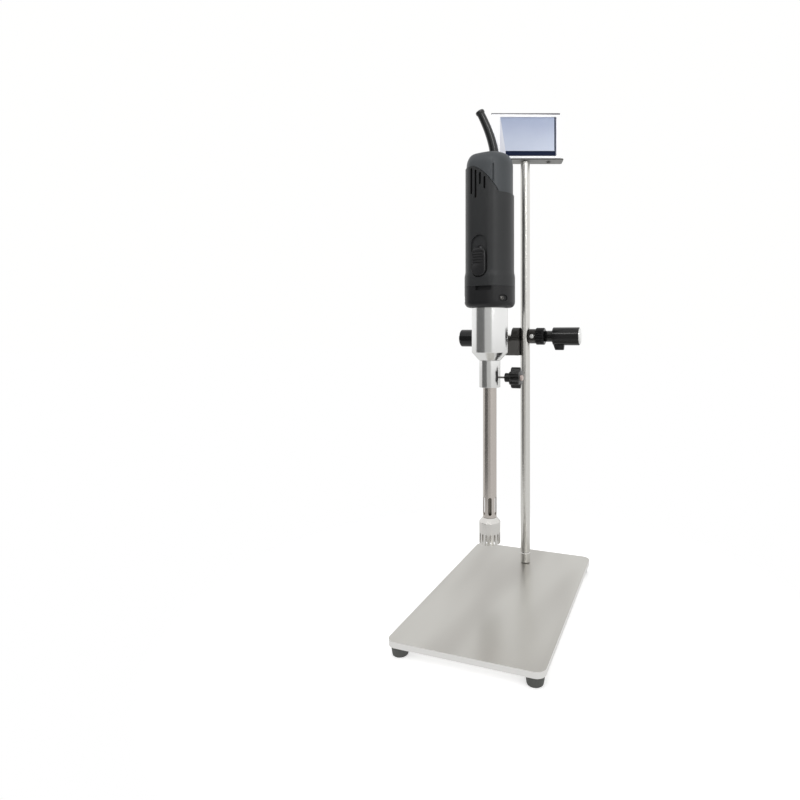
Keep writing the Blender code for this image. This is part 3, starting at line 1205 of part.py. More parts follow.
def make_motor_core():
    inner = armature_radius + ARMATURE_CLEARANCE
    outer = HOUSING_BORE - GAP
    core = turned("field_core", [
        (inner, core_bottom), (outer, core_bottom), (outer, core_top), (inner, core_top)], IRON, MEDIUM)
    set_motor(core)
    bore = SHAFT_RADIUS + GAP
    rotor_core = toothed_circle(armature_radius, ARMATURE_SLOT_DEPTH, ARMATURE_SLOTS)
    armature = prism("armature", rotor_core, core_bottom, core_top, IRON)
    join(armature, rod_tool(END_TURN_RADIUS, (0, 0, core_bottom - END_TURN_HEIGHT),
                            (0, 0, core_top + END_TURN_HEIGHT), COARSE))
    cut(armature, rod_tool(bore, (0, 0, core_bottom - END_TURN_HEIGHT - OVERRUN),
                           (0, 0, core_top + END_TURN_HEIGHT + OVERRUN), COARSE))
    set_motor(armature)
    top = commutator_bottom + COMMUTATOR_HEIGHT
    bars = toothed_circle(COMMUTATOR_RADIUS, SMALL_EDGE, COMMUTATOR_BARS)
    commutator = prism("commutator", bars, commutator_bottom, top, COPPER)
    drill = rod_tool(bore, (0, 0, commutator_bottom - OVERRUN), (0, 0, top + OVERRUN), COARSE)
    set_motor(cut(commutator, drill))
    middle = commutator_bottom + COMMUTATOR_HEIGHT / 2
    for name, side in (("left", math.pi), ("right", 0.0)):
        brush = box_tool((COMMUTATOR_RADIUS + GAP, -BRUSH_WIDTH / 2, middle - BRUSH_HEIGHT / 2),
                         (HOUSING_BORE - 2 * GAP, BRUSH_WIDTH / 2, middle + BRUSH_HEIGHT / 2))
        brush.name = "brush_" + name
        brush.data.materials.append(finish("brush_" + name, *CARBON))
        set_motor(moved(brush, turn=side))


def make_fan():
    bottom = nose_top + FAN_RISE
    plate_top_z = bottom + FAN_PLATE
    top = plate_top_z + FAN_BLADE_HEIGHT
    bore = SHAFT_RADIUS + GAP
    fan = turned("cooling_fan", [
        (bore, bottom), (FAN_RADIUS, bottom), (FAN_RADIUS, plate_top_z), (FAN_HUB_RADIUS, plate_top_z),
        (FAN_HUB_RADIUS, top), (bore, top)], BLACK_PLASTIC, MEDIUM)
    blades = []
    for i in range(FAN_BLADES):
        blade = box_tool((FAN_HUB_RADIUS - EDGE, -FAN_BLADE / 2, plate_top_z - SMALL_EDGE),
                         (FAN_RADIUS - EDGE, FAN_BLADE / 2, top))
        blades.append(moved(blade, turn=math.tau * i / FAN_BLADES))
    set_motor(join(fan, *blades))


def make_motor_shaft():
    top = rear_bearing_top - GAP
    shaft = turned("motor_shaft", [
        (0, motor_shaft_bottom), (SHAFT_RADIUS, motor_shaft_bottom), (SHAFT_RADIUS, top), (0, top)],
        STEEL, COARSE)
    set_motor(shaft)
    inner = SHAFT_RADIUS + GAP
    for name, bottom in (("front_bearing", front_bearing_bottom),
                         ("rear_bearing", rear_bearing_top - BEARING_HEIGHT)):
        high = bottom + BEARING_HEIGHT
        race = (BEARING_RADIUS + inner) / 2
        bearing = turned(name, [
            (inner, bottom), (race - BEARING_GROOVE, bottom), (race, bottom + EDGE),
            (race + BEARING_GROOVE, bottom), (BEARING_RADIUS, bottom), (BEARING_RADIUS, high),
            (race + BEARING_GROOVE, high), (race, high - EDGE), (race - BEARING_GROOVE, high),
            (inner, high)], STEEL, COARSE)
        set_motor(bearing)


def main():
    clear_scene()
    make_stand()
    make_tray()
    make_display()
    make_clamp()
    make_arm()
    make_sleeve()
    make_collar()
    make_star()
    make_tube()
    make_stator_head()
    make_bushes()
    make_rotor()
    make_motor_body()
    make_motor_cap()
    make_nose_band()
    make_switch()
    make_boot()
    make_motor_core()
    make_fan()
    make_motor_shaft()


main()
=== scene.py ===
import json
import math

import bmesh
import bpy
from mathutils import Matrix, Vector


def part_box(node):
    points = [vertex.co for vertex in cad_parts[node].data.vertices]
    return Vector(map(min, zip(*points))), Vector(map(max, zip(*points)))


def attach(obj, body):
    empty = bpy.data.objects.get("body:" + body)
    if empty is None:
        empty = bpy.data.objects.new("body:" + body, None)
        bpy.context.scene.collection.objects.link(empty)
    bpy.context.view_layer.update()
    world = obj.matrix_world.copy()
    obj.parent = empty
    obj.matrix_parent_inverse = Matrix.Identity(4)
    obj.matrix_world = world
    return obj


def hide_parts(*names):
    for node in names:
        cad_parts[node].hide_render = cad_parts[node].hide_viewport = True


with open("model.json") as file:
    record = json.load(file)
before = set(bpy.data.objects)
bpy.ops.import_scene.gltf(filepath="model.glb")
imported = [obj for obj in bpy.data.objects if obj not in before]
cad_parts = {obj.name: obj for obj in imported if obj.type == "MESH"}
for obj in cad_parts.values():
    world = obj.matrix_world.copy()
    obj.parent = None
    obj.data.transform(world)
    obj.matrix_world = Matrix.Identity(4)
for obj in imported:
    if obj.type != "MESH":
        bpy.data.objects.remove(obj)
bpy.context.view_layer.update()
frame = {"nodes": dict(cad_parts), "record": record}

print("frame loaded:", len(frame["nodes"]), "nodes")

quarter = math.pi / 2
gap = 0.0003  # clearance between touching pieces, as in the model
past = 0.002  # how far a cutter runs past a face
fineSides, roundSides, gripSides, wideSides, barSides = 128, 96, 80, 72, 64  # how finely round shapes are cut
smallSides, screwSides, thinSides, holeSides = 48, 40, 32, 24


# Sockets that add up like numbers

class Wire:
    def __init__(self, graph, socket):
        self.graph = graph
        self.socket = socket

    def maths(self, operation, other):
        return self.graph.node("Math", {"operation": operation}, {0: self, 1: other})

    def __add__(self, other):
        return self.maths("ADD", other)

    def __sub__(self, other):
        return self.maths("SUBTRACT", other)

    def __mul__(self, other):
        return self.maths("MULTIPLY", other)

    def between(self, low, high):  # 0 below low, 1 above high, smooth from one to the other
        settings = {"interpolation_type": "SMOOTHSTEP"}
        return self.graph.node("MapRange", settings, {"Value": self, "From Min": low, "From Max": high})


# The nodes of a material or of the world

class Graph:
    def __init__(self, owner):
        owner.use_nodes = True
        self.tree = owner.node_tree

    def feed(self, socket, value):
        if isinstance(value, Wire):
            self.tree.links.new(value.socket, socket)
        else:
            socket.default_value = value

    def node(self, kind, settings=None, inputs=None, out=0):
        made = self.tree.nodes.new("ShaderNode" + kind)
        for key, value in (settings or {}).items():
            setattr(made, key, value)
        for key, value in (inputs or {}).items():
            self.feed(made.inputs[key], value)
        return Wire(self, made.outputs[out])

    def rays(self, kind):  # 1 for a ray of that kind, else 0
        return self.node("LightPath", out=f"Is {kind} Ray")


# One material, with the constants of its shader

class Finish(Graph):
    def __init__(self, name, colour, roughness, metallic=0.0, shine=0.5):
        self.material = bpy.data.materials.new(name)
        super().__init__(self.material)
        self.shader = self.tree.nodes["Principled BSDF"]
        self.set("Base Color", (*colour, 1.0))
        self.set("Roughness", roughness)
        self.set("Metallic", metallic)
        self.set("Specular IOR Level", shine)

    def set(self, socket, value):
        self.feed(self.shader.inputs[socket], value)

    def place(self):  # position on the piece, in metres
        return self.node("TexCoord", out="Object")

    def upward(self):  # how far the surface faces up, from -1 to 1
        return self.node("SeparateXYZ", None, {0: self.node("NewGeometry", out="Normal")}, "Z")

    def height(self):
        return self.node("SeparateXYZ", None, {0: self.place()}, "Z")

    def noise(self, scale, detail=3.0, stretch=(1.0, 1.0, 1.0), turn=0.0):
        inputs = {"Vector": self.place(), "Rotation": (0.0, 0.0, turn), "Scale": stretch}
        inputs = {"Vector": self.node("Mapping", None, inputs), "Scale": scale, "Detail": detail}
        return self.node("TexNoise", None, inputs)

    def mix(self, factor, *colours):
        first, second = (c if isinstance(c, Wire) else (*c, 1.0) for c in colours)
        return self.node("Mix", {"data_type": "RGBA"}, {0: factor, 6: first, 7: second}, 2)

    def tint(self, factor, colour, other):  # base colour that runs from one to the other
        self.set("Base Color", self.mix(factor, colour, other))
        return self

    def bump(self, height, distance, strength=1.0):
        inputs = {"Height": height, "Distance": distance, "Strength": strength}
        self.set("Normal", self.node("Bump", None, inputs))
        return self

    def emit(self, colour, strength):
        self.set("Emission Color", (*colour, 1.0))
        self.set("Emission Strength", strength)
        return self

    def glow(self, strength, colour=(1.0, 1.0, 1.0)):
        return self.node("Emission", None, {"Color": (*colour, 1.0), "Strength": strength})

    def blend(self, factor, first, second):
        return self.node("MixShader", None, {0: factor, 1: first, 2: second})


print("materials")

# Finishes, each with the grain that the real surface shows


def scaled(colour, factor):
    return tuple(min(c * factor, 1.0) for c in colour)


def polishedMetal(name, colour, roughness, linesPerMetre=9000.0):  # turned, with faint rings
    made = Finish(name, colour, roughness, 1.0)
    rings = made.noise(1.0, 3.0, (30.0, 30.0, linesPerMetre))
    made.set("Roughness", rings * 0.06 + (roughness - 0.03))
    return made.tint(rings, scaled(colour, 0.95), colour).bump(rings, 0.000006, 0.4)


def drawnSteel(name, colour, roughness):  # a drawn or ground bar, with faint lines along it
    made = Finish(name, colour, roughness, 1.0)
    lines = made.noise(1.0, 2.0, (900.0, 900.0, 12.0))
    made.set("Roughness", lines * 0.06 + made.noise(26.0, 2.0) * 0.06 + (roughness - 0.06))
    return made.tint(lines, scaled(colour, 0.96), colour).bump(lines, 0.000004, 0.4)


def brushedSheet(name, colour, roughness):  # brushed along, with soft bands of painted reflection, and with the sides painted lighter than the top as painted light
    made = Finish(name, colour, roughness, 1.0)
    lines = made.noise(1.0, 4.0, (2600.0, 14.0, 2600.0))
    # soft diagonal bands across the top: painted reflection
    paintedReflectionBands = made.noise(1.0, 1.0, (16.0, 3.5, 3.5), math.radians(-52.0)).between(0.32, 0.68)
    top = made.mix(lines * 0.25 + paintedReflectionBands * 0.75, (0.435, 0.420, 0.395), (0.570, 0.560, 0.530))
    made.set("Roughness", lines * 0.12 + (roughness - 0.08))
    # painted light: faces that don't face up get a light colour, and the top a darker one
    return made.tint(made.upward().between(0.3, 0.8), (0.86, 0.85, 0.835), top).bump(lines, 0.00002, 0.5)


def mouldedPlastic(name, colour, roughness, grain=0.00004, grainScale=1500.0, shine=0.5):
    made = Finish(name, colour, roughness, shine=shine)
    spark, cloud = made.noise(grainScale, 2.0), made.noise(22.0, 2.0)
    made.set("Roughness", spark * 0.10 + cloud * 0.08 + (roughness - 0.09))
    return made.tint(cloud, scaled(colour, 0.86), scaled(colour, 1.14)).bump(spark, grain, 0.5)


def trayPaintedLightUnder(name, colour, roughness):  # dark, with the underside painted lighter as a painted reflection of the bright floor
    made = mouldedPlastic(name, colour, roughness, 0.00006, 700.0)
    return made.tint((made.upward() * -1.0).between(0.5, 0.9), (0.024, 0.024, 0.023), (0.235, 0.235, 0.225))


def litScreen(name, colour, roughness):  # deeper blue towards the top
    made = Finish(name, colour, roughness)
    rise = made.height().between(0.630, 0.683) * 0.8 + made.noise(34.0, 3.0) * 0.3 - 0.05
    return made.tint(rise, (0.66, 0.72, 0.86), (0.385, 0.445, 0.62))


def castEnamel(name, colour, roughness):  # with the slight orange peel of a painted casting
    made = Finish(name, colour, roughness, shine=0.3)
    peel = made.noise(420.0, 2.0)
    made.set("Roughness", peel * 0.12 + (roughness - 0.06))
    made.tint(made.noise(40.0, 3.0), scaled(colour, 0.8), scaled(colour, 1.25))
    return made.bump(peel, 0.00006, 0.6)


def softRubber(name, colour, roughness):
    made = Finish(name, colour, roughness)
    bloom = made.noise(60.0, 4.0)
    made.set("Roughness", bloom * 0.16 + (roughness - 0.08))
    made.tint(bloom, scaled(colour, 0.8), scaled(colour, 1.3))
    return made.bump(made.noise(2200.0, 2.0), 0.00003, 0.5)


feet = ("front_left", "front_right", "rear_left", "rear_right")
looks = {  # the nodes, the maker, its colour and roughness, then what else the maker takes
    "plateSteel": ("base_plate", brushedSheet, (0.50, 0.49, 0.46), 0.34),
    "columnChrome": ("column column_socket arm_rod", drawnSteel, (0.74, 0.73, 0.70), 0.25),
    "tubeSteel": ("outer_tube", drawnSteel, (0.60, 0.555, 0.52), 0.26),
    # the shafts are coloured darker than bare steel: painted shade for the dark inside of the tube
    "shaftSteel": ("drive_shaft motor_shaft", drawnSteel, (0.24, 0.22, 0.19), 0.30),
    "brightScrew": ("jaw_screw column_clamp_screw arm_clamp_screw",
                    polishedMetal, (0.72, 0.72, 0.71), 0.22, 4000.0),
    "darkSteel": ("display_screw_left display_screw_right star_screw nose_screw_left nose_screw_right",
                  polishedMetal, (0.16, 0.155, 0.15), 0.34, 4000.0),
    "sleeveMetal": ("motor_sleeve", polishedMetal, (0.86, 0.86, 0.855), 0.21),
    "collarMetal": ("tool_collar", polishedMetal, (0.84, 0.84, 0.83), 0.21),
    "statorSteel": ("stator_head rotor", polishedMetal, (0.72, 0.705, 0.68), 0.20, 6000.0),
    "capMetal": ("column_clamp_cap arm_clamp_cap", polishedMetal, (0.82, 0.82, 0.81), 0.24, 3000.0),
    "copperBars": ("commutator", polishedMetal, (0.75, 0.42, 0.28), 0.32),
    "bearingSteel": ("front_bearing rear_bearing", polishedMetal, (0.62, 0.62, 0.62), 0.25),
    "footRubber": (" ".join("foot_" + place for place in feet), softRubber, (0.075, 0.077, 0.072), 0.62),
    "clampEnamel": ("boss_head", castEnamel, (0.018, 0.016, 0.014), 0.36),
    "coreIron": ("field_core armature", castEnamel, (0.20, 0.20, 0.21), 0.50),
    "brushCarbon": ("brush_left brush_right", castEnamel, (0.03, 0.03, 0.03), 0.6),
    # the tray's underside is painted lighter: painted reflection of the floor
    "trayPaint": ("display_tray", trayPaintedLightUnder, (0.20, 0.20, 0.195), 0.42),
    "screenBlue": ("", litScreen, (0.5, 0.57, 0.72), 0.16),
    # a navy band standing for the shaded edges of the screen recess: painted shade
    "screenNavy": ("", mouldedPlastic, (0.004, 0.010, 0.036), 0.3, 0.000001, 900.0, 0.10),
    "paneGloss": ("display_window", mouldedPlastic, (0.82, 0.83, 0.93), 0.12, 0.000001, 900.0),
    # dark strip along the display's top edge: painted shade
    "trimGrey": ("", mouldedPlastic, (0.09, 0.085, 0.105), 0.4),
    "whiteCase": ("display_bezel display_case", mouldedPlastic, (0.93, 0.94, 0.965), 0.36, 0.00002, 1800.0),
    "gripPlastic": ("display_gland column_clamp_grip arm_clamp_grip",
                    mouldedPlastic, (0.008, 0.008, 0.008), 0.16, 0.000002, 1200.0, 0.34),
    "knobPlastic": ("star_knob column_clamp_lock_ring arm_clamp_lock_ring",
                    mouldedPlastic, (0.011, 0.011, 0.011), 0.24, 0.000006, 1200.0, 0.28),
    "capPlastic": ("motor_cap", mouldedPlastic, (0.053, 0.059, 0.064), 0.44, 0.00004, 1500.0, 0.40),
    "bodyPlastic": ("motor_body", mouldedPlastic, (0.024, 0.025, 0.026), 0.40, 0.00004, 1500.0, 0.34),
    "nosePlastic": ("motor_nose", mouldedPlastic, (0.013, 0.013, 0.014), 0.38, 0.00004, 1500.0, 0.32),
    "switchPlastic": ("switch_slider", mouldedPlastic, (0.017, 0.017, 0.018), 0.34, 0.00003, 1500.0, 0.35),
    "bootRubber": ("cord_boot", mouldedPlastic, (0.012, 0.013, 0.013), 0.14, 0.000002, 900.0, 0.6),
    "salmonCap": ("star_cap", mouldedPlastic, (0.60, 0.50, 0.46), 0.38, 0.00001),
    "bushPlastic": ("lower_bush upper_bush", mouldedPlastic, (0.80, 0.80, 0.77), 0.5, 0.00001),
    "boardGreen": ("display_board", mouldedPlastic, (0.02, 0.12, 0.06), 0.45, 0.00002),
    "couplingBlack": ("shaft_coupling cooling_fan", mouldedPlastic, (0.03, 0.03, 0.03), 0.4)}
finishes, finishOf = {}, {}
for look, (nodes, maker, *settings) in looks.items():
    finishes[look] = maker(look, *settings)
    finishOf.update(dict.fromkeys(nodes.split(), finishes[look]))
# painted light: the white case glows faintly though it is no lamp
finishes["whiteCase"].emit((0.93, 0.94, 0.97), 0.16)


def coated(piece, finish):
    piece.data.materials.clear()
    piece.data.materials.append(finish.material)


for node, shape in frame["nodes"].items():  # the pieces below stand for most of these nodes
    coated(shape, finishOf.get(node, finishes["brightScrew"]))


# Mesh helpers; every piece is made where the model says it is, in metres

bodyOf = {node: body for body, nodes in frame["record"]["behaviour"]["bodies"].items() for node in nodes}


def meshPiece(name, builder):
    bmesh.ops.remove_doubles(builder, verts=builder.verts, dist=1e-7)
    bmesh.ops.recalc_face_normals(builder, faces=builder.faces)
    mesh = bpy.data.meshes.new(name)
    builder.to_mesh(mesh)
    builder.free()
    piece = bpy.data.objects.new(name, mesh)
    bpy.context.scene.collection.objects.link(piece)
    return piece


def turned(name, outline, sides=roundSides):  # spins a closed outline of (radius, height) round Z
    builder = bmesh.new()
    points = [builder.verts.new((r, 0.0, z)) for r, z in outline]
    pairs = zip(points, points[1:] + points[:1])
    edges = [builder.edges.new(pair) for pair in pairs if pair[0].co.x > 0 or pair[1].co.x > 0]
    bmesh.ops.spin(builder, geom=points + edges, cent=(0, 0, 0), axis=(0, 0, 1), angle=math.tau, steps=sides)
    bmesh.ops.remove_doubles(builder, verts=builder.verts, dist=1e-7)
    bmesh.ops.dissolve_degenerate(builder, dist=1e-8, edges=builder.edges)
    bmesh.ops.delete(builder, geom=[e for e in builder.edges if not e.link_faces], context="EDGES")
    return meshPiece(name, builder)


def skinned(name, rings):  # skins rings with equal point counts and closes both ends
    builder = bmesh.new()
    layers = [[builder.verts.new(point) for point in ring] for ring in rings]
    count = len(layers[0])
    for low, high in zip(layers, layers[1:]):
        for i in range(count):
            builder.faces.new((low[i], low[(i + 1) % count], high[(i + 1) % count], high[i]))
    builder.faces.new(layers[0][::-1])
    builder.faces.new(layers[-1])
    return meshPiece(name, builder)


def slab(name, outline, low, high):
    return skinned(name, [[(x, y, low) for x, y in outline], [(x, y, high) for x, y in outline]])


def frontSlab(name, outline, centreX, centreZ, front, back):  # an outline in the front view, given depth
    piece = slab(name, outline, -back, -front)
    return shifted(piece, (centreX, 0, centreZ), "X", quarter)


def brick(low, high):
    outline = [(low[0], low[1]), (high[0], low[1]), (high[0], high[1]), (low[0], high[1])]
    return slab("cutter", outline, low[2], high[2])


def circle(radius, sides=smallSides, centre=(0.0, 0.0)):
    turns = [math.tau * i / sides for i in range(sides)]
    return [(centre[0] + radius * math.cos(a), centre[1] + radius * math.sin(a)) for a in turns]


def roundedBox(width, depth, radius, arc=10, centre=(0.0, 0.0)):
    outline = []
    for turn, (sx, sy) in enumerate(((1, 1), (-1, 1), (-1, -1), (1, -1))):
        for step in range(arc + 1):
            a = quarter * (turn + step / arc)
            outline.append((centre[0] + sx * (width / 2 - radius) + radius * math.cos(a),
                            centre[1] + sy * (depth / 2 - radius) + radius * math.sin(a)))
    return outline


def bar(radius, start, end, sides=smallSides):  # a round bar or cutter between two points
    span = Vector(end) - Vector(start)
    piece = slab("cutter", circle(radius, sides), 0.0, span.length)
    piece.data.transform(Matrix.Translation(start) @ span.to_track_quat("Z", "Y").to_matrix().to_4x4())
    return piece


def pin(radius, low, high, sides=smallSides, spot=(0, 0)):  # an upright bar
    return bar(radius, (*spot, low), (*spot, high), sides)


def shifted(piece, move=(0, 0, 0), axis="Z", angle=0.0):
    piece.data.transform(Matrix.Translation(move) @ Matrix.Rotation(angle, 4, axis))
    return piece


def boolean(piece, tool, operation):
    cutting = piece.modifiers.new("cut", "BOOLEAN")
    cutting.operation, cutting.solver, cutting.object = operation, "EXACT", tool
    result = bpy.data.meshes.new_from_object(piece.evaluated_get(bpy.context.evaluated_depsgraph_get()))
    piece.modifiers.clear()
    piece.data = result
    bpy.data.objects.remove(tool, do_unlink=True)


def carved(piece, *tools):
    for tool in tools:
        boolean(piece, tool, "DIFFERENCE")
    return cleaned(piece)


def joined(piece, *others):
    for other in others:
        boolean(piece, other, "UNION")
    return cleaned(piece)


def cleaned(piece):
    builder = bmesh.new()
    builder.from_mesh(piece.data)
    bmesh.ops.remove_doubles(builder, verts=builder.verts, dist=1e-6)
    bmesh.ops.dissolve_degenerate(builder, dist=1e-6, edges=builder.edges)
    bmesh.ops.dissolve_limit(builder, angle_limit=0.0008, verts=builder.verts, edges=builder.edges)
    builder.to_mesh(piece.data)
    builder.free()
    return piece


def softened(piece, width, segments=2, angle=32):  # rounds the edges that are sharper than the angle
    bevel = piece.modifiers.new("edges", "BEVEL")
    bevel.width, bevel.segments = width, segments
    bevel.limit_method, bevel.angle_limit = "ANGLE", math.radians(angle)
    bevel.harden_normals = True
    bevel.use_clamp_overlap = True
    return piece


def dressed(piece, node, sharp=34, finish=None):  # it stands for the node, or beside it with its own finish
    coated(piece, finish or finishOf[node])
    piece.data.shade_smooth()
    piece.data.set_sharp_from_angle(angle=math.radians(sharp))
    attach(piece, bodyOf[node])
    if not finish:
        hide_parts(node)


def middle(node):
    low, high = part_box(node)
    return (low + high) / 2


def width(node):
    low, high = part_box(node)
    return high - low


def corner(r, z, radius, first, last, steps=6):  # a rounded corner of a turned outline, in degrees
    turns = [math.radians(first + (last - first) * i / steps) for i in range(steps + 1)]
    return [(r + radius * math.cos(a), z + radius * math.sin(a)) for a in turns]


# Where the model puts the parts that the pieces below share

column = middle("column")
tool = middle("stator_head")
rodZ = middle("arm_rod").z
clampZ = middle("column_clamp_screw").z
starZ = middle("star_screw").z
armOffset = column.x - tool.x


def onColumn(piece, turn=0.0):
    return shifted(piece, (*column.xy, 0), "Z", math.radians(turn))


def onTool(piece, turn=0.0):
    return shifted(piece, (*tool.xy, 0), "Z", math.radians(turn))


# Stand

print("stand")
plate = {"corner": 0.011, "edge": 0.0006, "bolt": 0.0043, "boltHead": 0.0071, "boltHeadDepth": 0.0045,
         "screw": 0.0023, "screwDepth": 0.0048}
foot = {"topRadius": 0.0105, "bottomRadius": 0.0090, "lip": 0.0008, "rim": 0.0020, "round": 0.0014,
        "pocket": 0.0044, "pocketDepth": 0.0055, "bore": 0.0023}
stem = {"radius": 0.007, "chamfer": 0.0007}


def basePlate():
    low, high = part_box("base_plate")
    size = width("base_plate")
    outline = roundedBox(size.x, size.y, plate["corner"], 14, middle("base_plate").xy)
    deck = slab("basePlate", outline, low.z, high.z)
    under = low.z - past
    holes = [pin(plate["bolt"], under, high.z + past, smallSides, column.xy),
             pin(plate["boltHead"], under, low.z + plate["boltHeadDepth"], smallSides, column.xy)]
    for place in feet:
        spot = middle("foot_" + place).xy
        holes.append(pin(plate["screw"], under, low.z + plate["screwDepth"], holeSides, spot))
    softened(carved(deck, *holes), plate["edge"], 3)
    dressed(deck, "base_plate")


def rubberFoot(node):
    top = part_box(node)[1].z
    reach, lip, edge = foot["topRadius"], foot["lip"], foot["round"]
    outline = [(foot["bore"], top), *corner(reach - lip, top - lip, lip, 90, 0), (reach, top - foot["rim"]),
               *corner(foot["bottomRadius"] - edge, edge, edge, 0, -90), (foot["pocket"], 0.0),
               (foot["pocket"], foot["pocketDepth"]), (foot["bore"], foot["pocketDepth"])]
    dressed(shifted(turned("rubberFoot", outline, smallSides), (*middle(node).xy, 0)), node)


def standColumn(name, node):
    low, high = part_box(node)
    reach, chamfer = stem["radius"], stem["chamfer"]
    outline = [(0, low.z), (reach - chamfer, low.z), (reach, low.z + chamfer),
               (reach, high.z - chamfer), (reach - chamfer, high.z), (0, high.z)]
    dressed(onColumn(turned(name, outline)), node)


basePlate()
for place in feet:
    rubberFoot("foot_" + place)
standColumn("columnBar", "column")
standColumn("columnSocket", "column_socket")


# Clamp head, with its two handles

print("clamp")
head = {"barrel": 0.013, "jaw": 0.0108, "jawWall": 0.0100, "depth": 0.030, "floorDrop": 0.0255,
        "rodWall": 0.0040, "wallRise": 0.0125, "edge": 0.0009, "blockEdge": 0.0016, "wallEdge": 0.0010,
        "cutEdge": 0.0004, "screwHole": 0.0043, "paintedLightDrop": 0.0030, "paintedLightBlend": 0.0006}
jawScrew = {"head": 0.0032, "height": 0.0022, "round": 0.0006, "shank": 0.0018, "length": 0.0045,
            "key": 0.0014, "sink": 0.0012}
handle = {"knurls": 32, "knurlDepth": 0.0009, "ringTrim": 0.0008, "ringShrink": 0.93, "neck": 0.0083,
          "neckTrim": 0.0006, "neckLength": 0.0125, "neckBlend": 0.0012, "neckSoft": 0.0005,
          "radius": 0.0132, "edge": 0.0011,
          "capRadius": 0.0118, "capDome": 0.0008, "screw": 0.0040, "tipTrim": 0.0008, "lugWidth": 0.0070,
          "lugLength": 0.0165, "lugHeight": 0.0070, "lugTaper": 0.0030, "lugRoot": 0.0020, "lugEdge": 0.0010,
          "gripEdge": 0.0003}


def castHead():
    groove = stem["radius"] + gap
    left = -(armOffset + groove + head["rodWall"])
    half, edge = head["depth"] / 2, head["edge"]
    floor = rodZ - head["floorDrop"]
    jawEnd = stem["radius"] + head["jawWall"]
    inner = groove - armOffset
    barrel = turned("castHead", [
        (0, inner), *corner(head["barrel"] - edge, inner + edge, edge, -90, 0),
        *corner(head["barrel"] - edge, -edge, edge, 0, 90), (head["jaw"], 0),
        *corner(head["jaw"] - edge, jawEnd - edge, edge, 0, 90), (0, jawEnd)], wideSides)
    shifted(barrel, (0, 0, clampZ), "Y", quarter)
    block = brick((left, -half, floor), (0.0, half, rodZ))
    wall = brick((left, -half, rodZ - 2 * past), (left + head["rodWall"], half, rodZ + head["wallRise"]))
    joined(barrel, softened(block, head["blockEdge"], 4), softened(wall, head["wallEdge"], 3))
    high, low = clampZ + head["barrel"] + past, floor - past
    outside = half + past
    flatHalf = jawScrew["head"] * 1.2
    flatMiddle = jawEnd - flatHalf - gap
    flatLow, flatHigh = clampZ - flatHalf, clampZ + flatHalf
    flatFace = jawScrew["sink"] - head["jaw"]
    carved(barrel, pin(groove, low, high, barSides),
           brick((-groove, -outside, low), (groove, 0.0, high)),
           bar(groove, (-armOffset, -outside, rodZ), (-armOffset, outside, rodZ), barSides),
           brick((-armOffset - groove, -outside, rodZ), (-armOffset + groove, outside, high)),
           bar(head["screwHole"], (0, 0, clampZ), (jawEnd + past, 0, clampZ), thinSides),
           bar(head["screwHole"], (left - past, 0, rodZ), (-armOffset, 0, rodZ), thinSides),
           brick((flatMiddle - flatHalf, -half, flatLow), (jawEnd + past, flatFace, flatHigh)))
    softened(barrel, head["cutEdge"], 2, 45)
    dressed(onColumn(barrel), "boss_head")
    rise, reach, edge = jawScrew["height"], jawScrew["head"], jawScrew["round"]
    thread, deep = jawScrew["shank"], -jawScrew["length"]
    screw = turned("socketScrew", [(0, deep), (0, rise), *corner(reach - edge, rise - edge, edge, 90, 0),
                                   (reach, 0), (thread, 0), (thread, deep)], screwSides)
    carved(screw, slab("cutter", circle(jawScrew["key"], 6), rise * 0.35, rise + past))
    shifted(screw, (flatMiddle, flatFace - gap, clampZ), "X", quarter)
    dressed(onColumn(screw), "jaw_screw")


def shank(name, start, end, reach, trim, sides):  # a plain rod with its near end trimmed
    outline = [(0, start), (0, end), (reach, end), (reach, start + trim), (reach - trim, start)]
    return turned(name, outline, sides)


def knurledOutline(radius):
    outline = []
    for i in range(handle["knurls"] * 8):
        reach = radius - handle["knurlDepth"] * max(-math.cos(math.tau * i / 8), 0.0) ** 0.7
        a = math.tau * i / (handle["knurls"] * 8)
        outline.append((reach * math.cos(a), reach * math.sin(a)))
    return outline


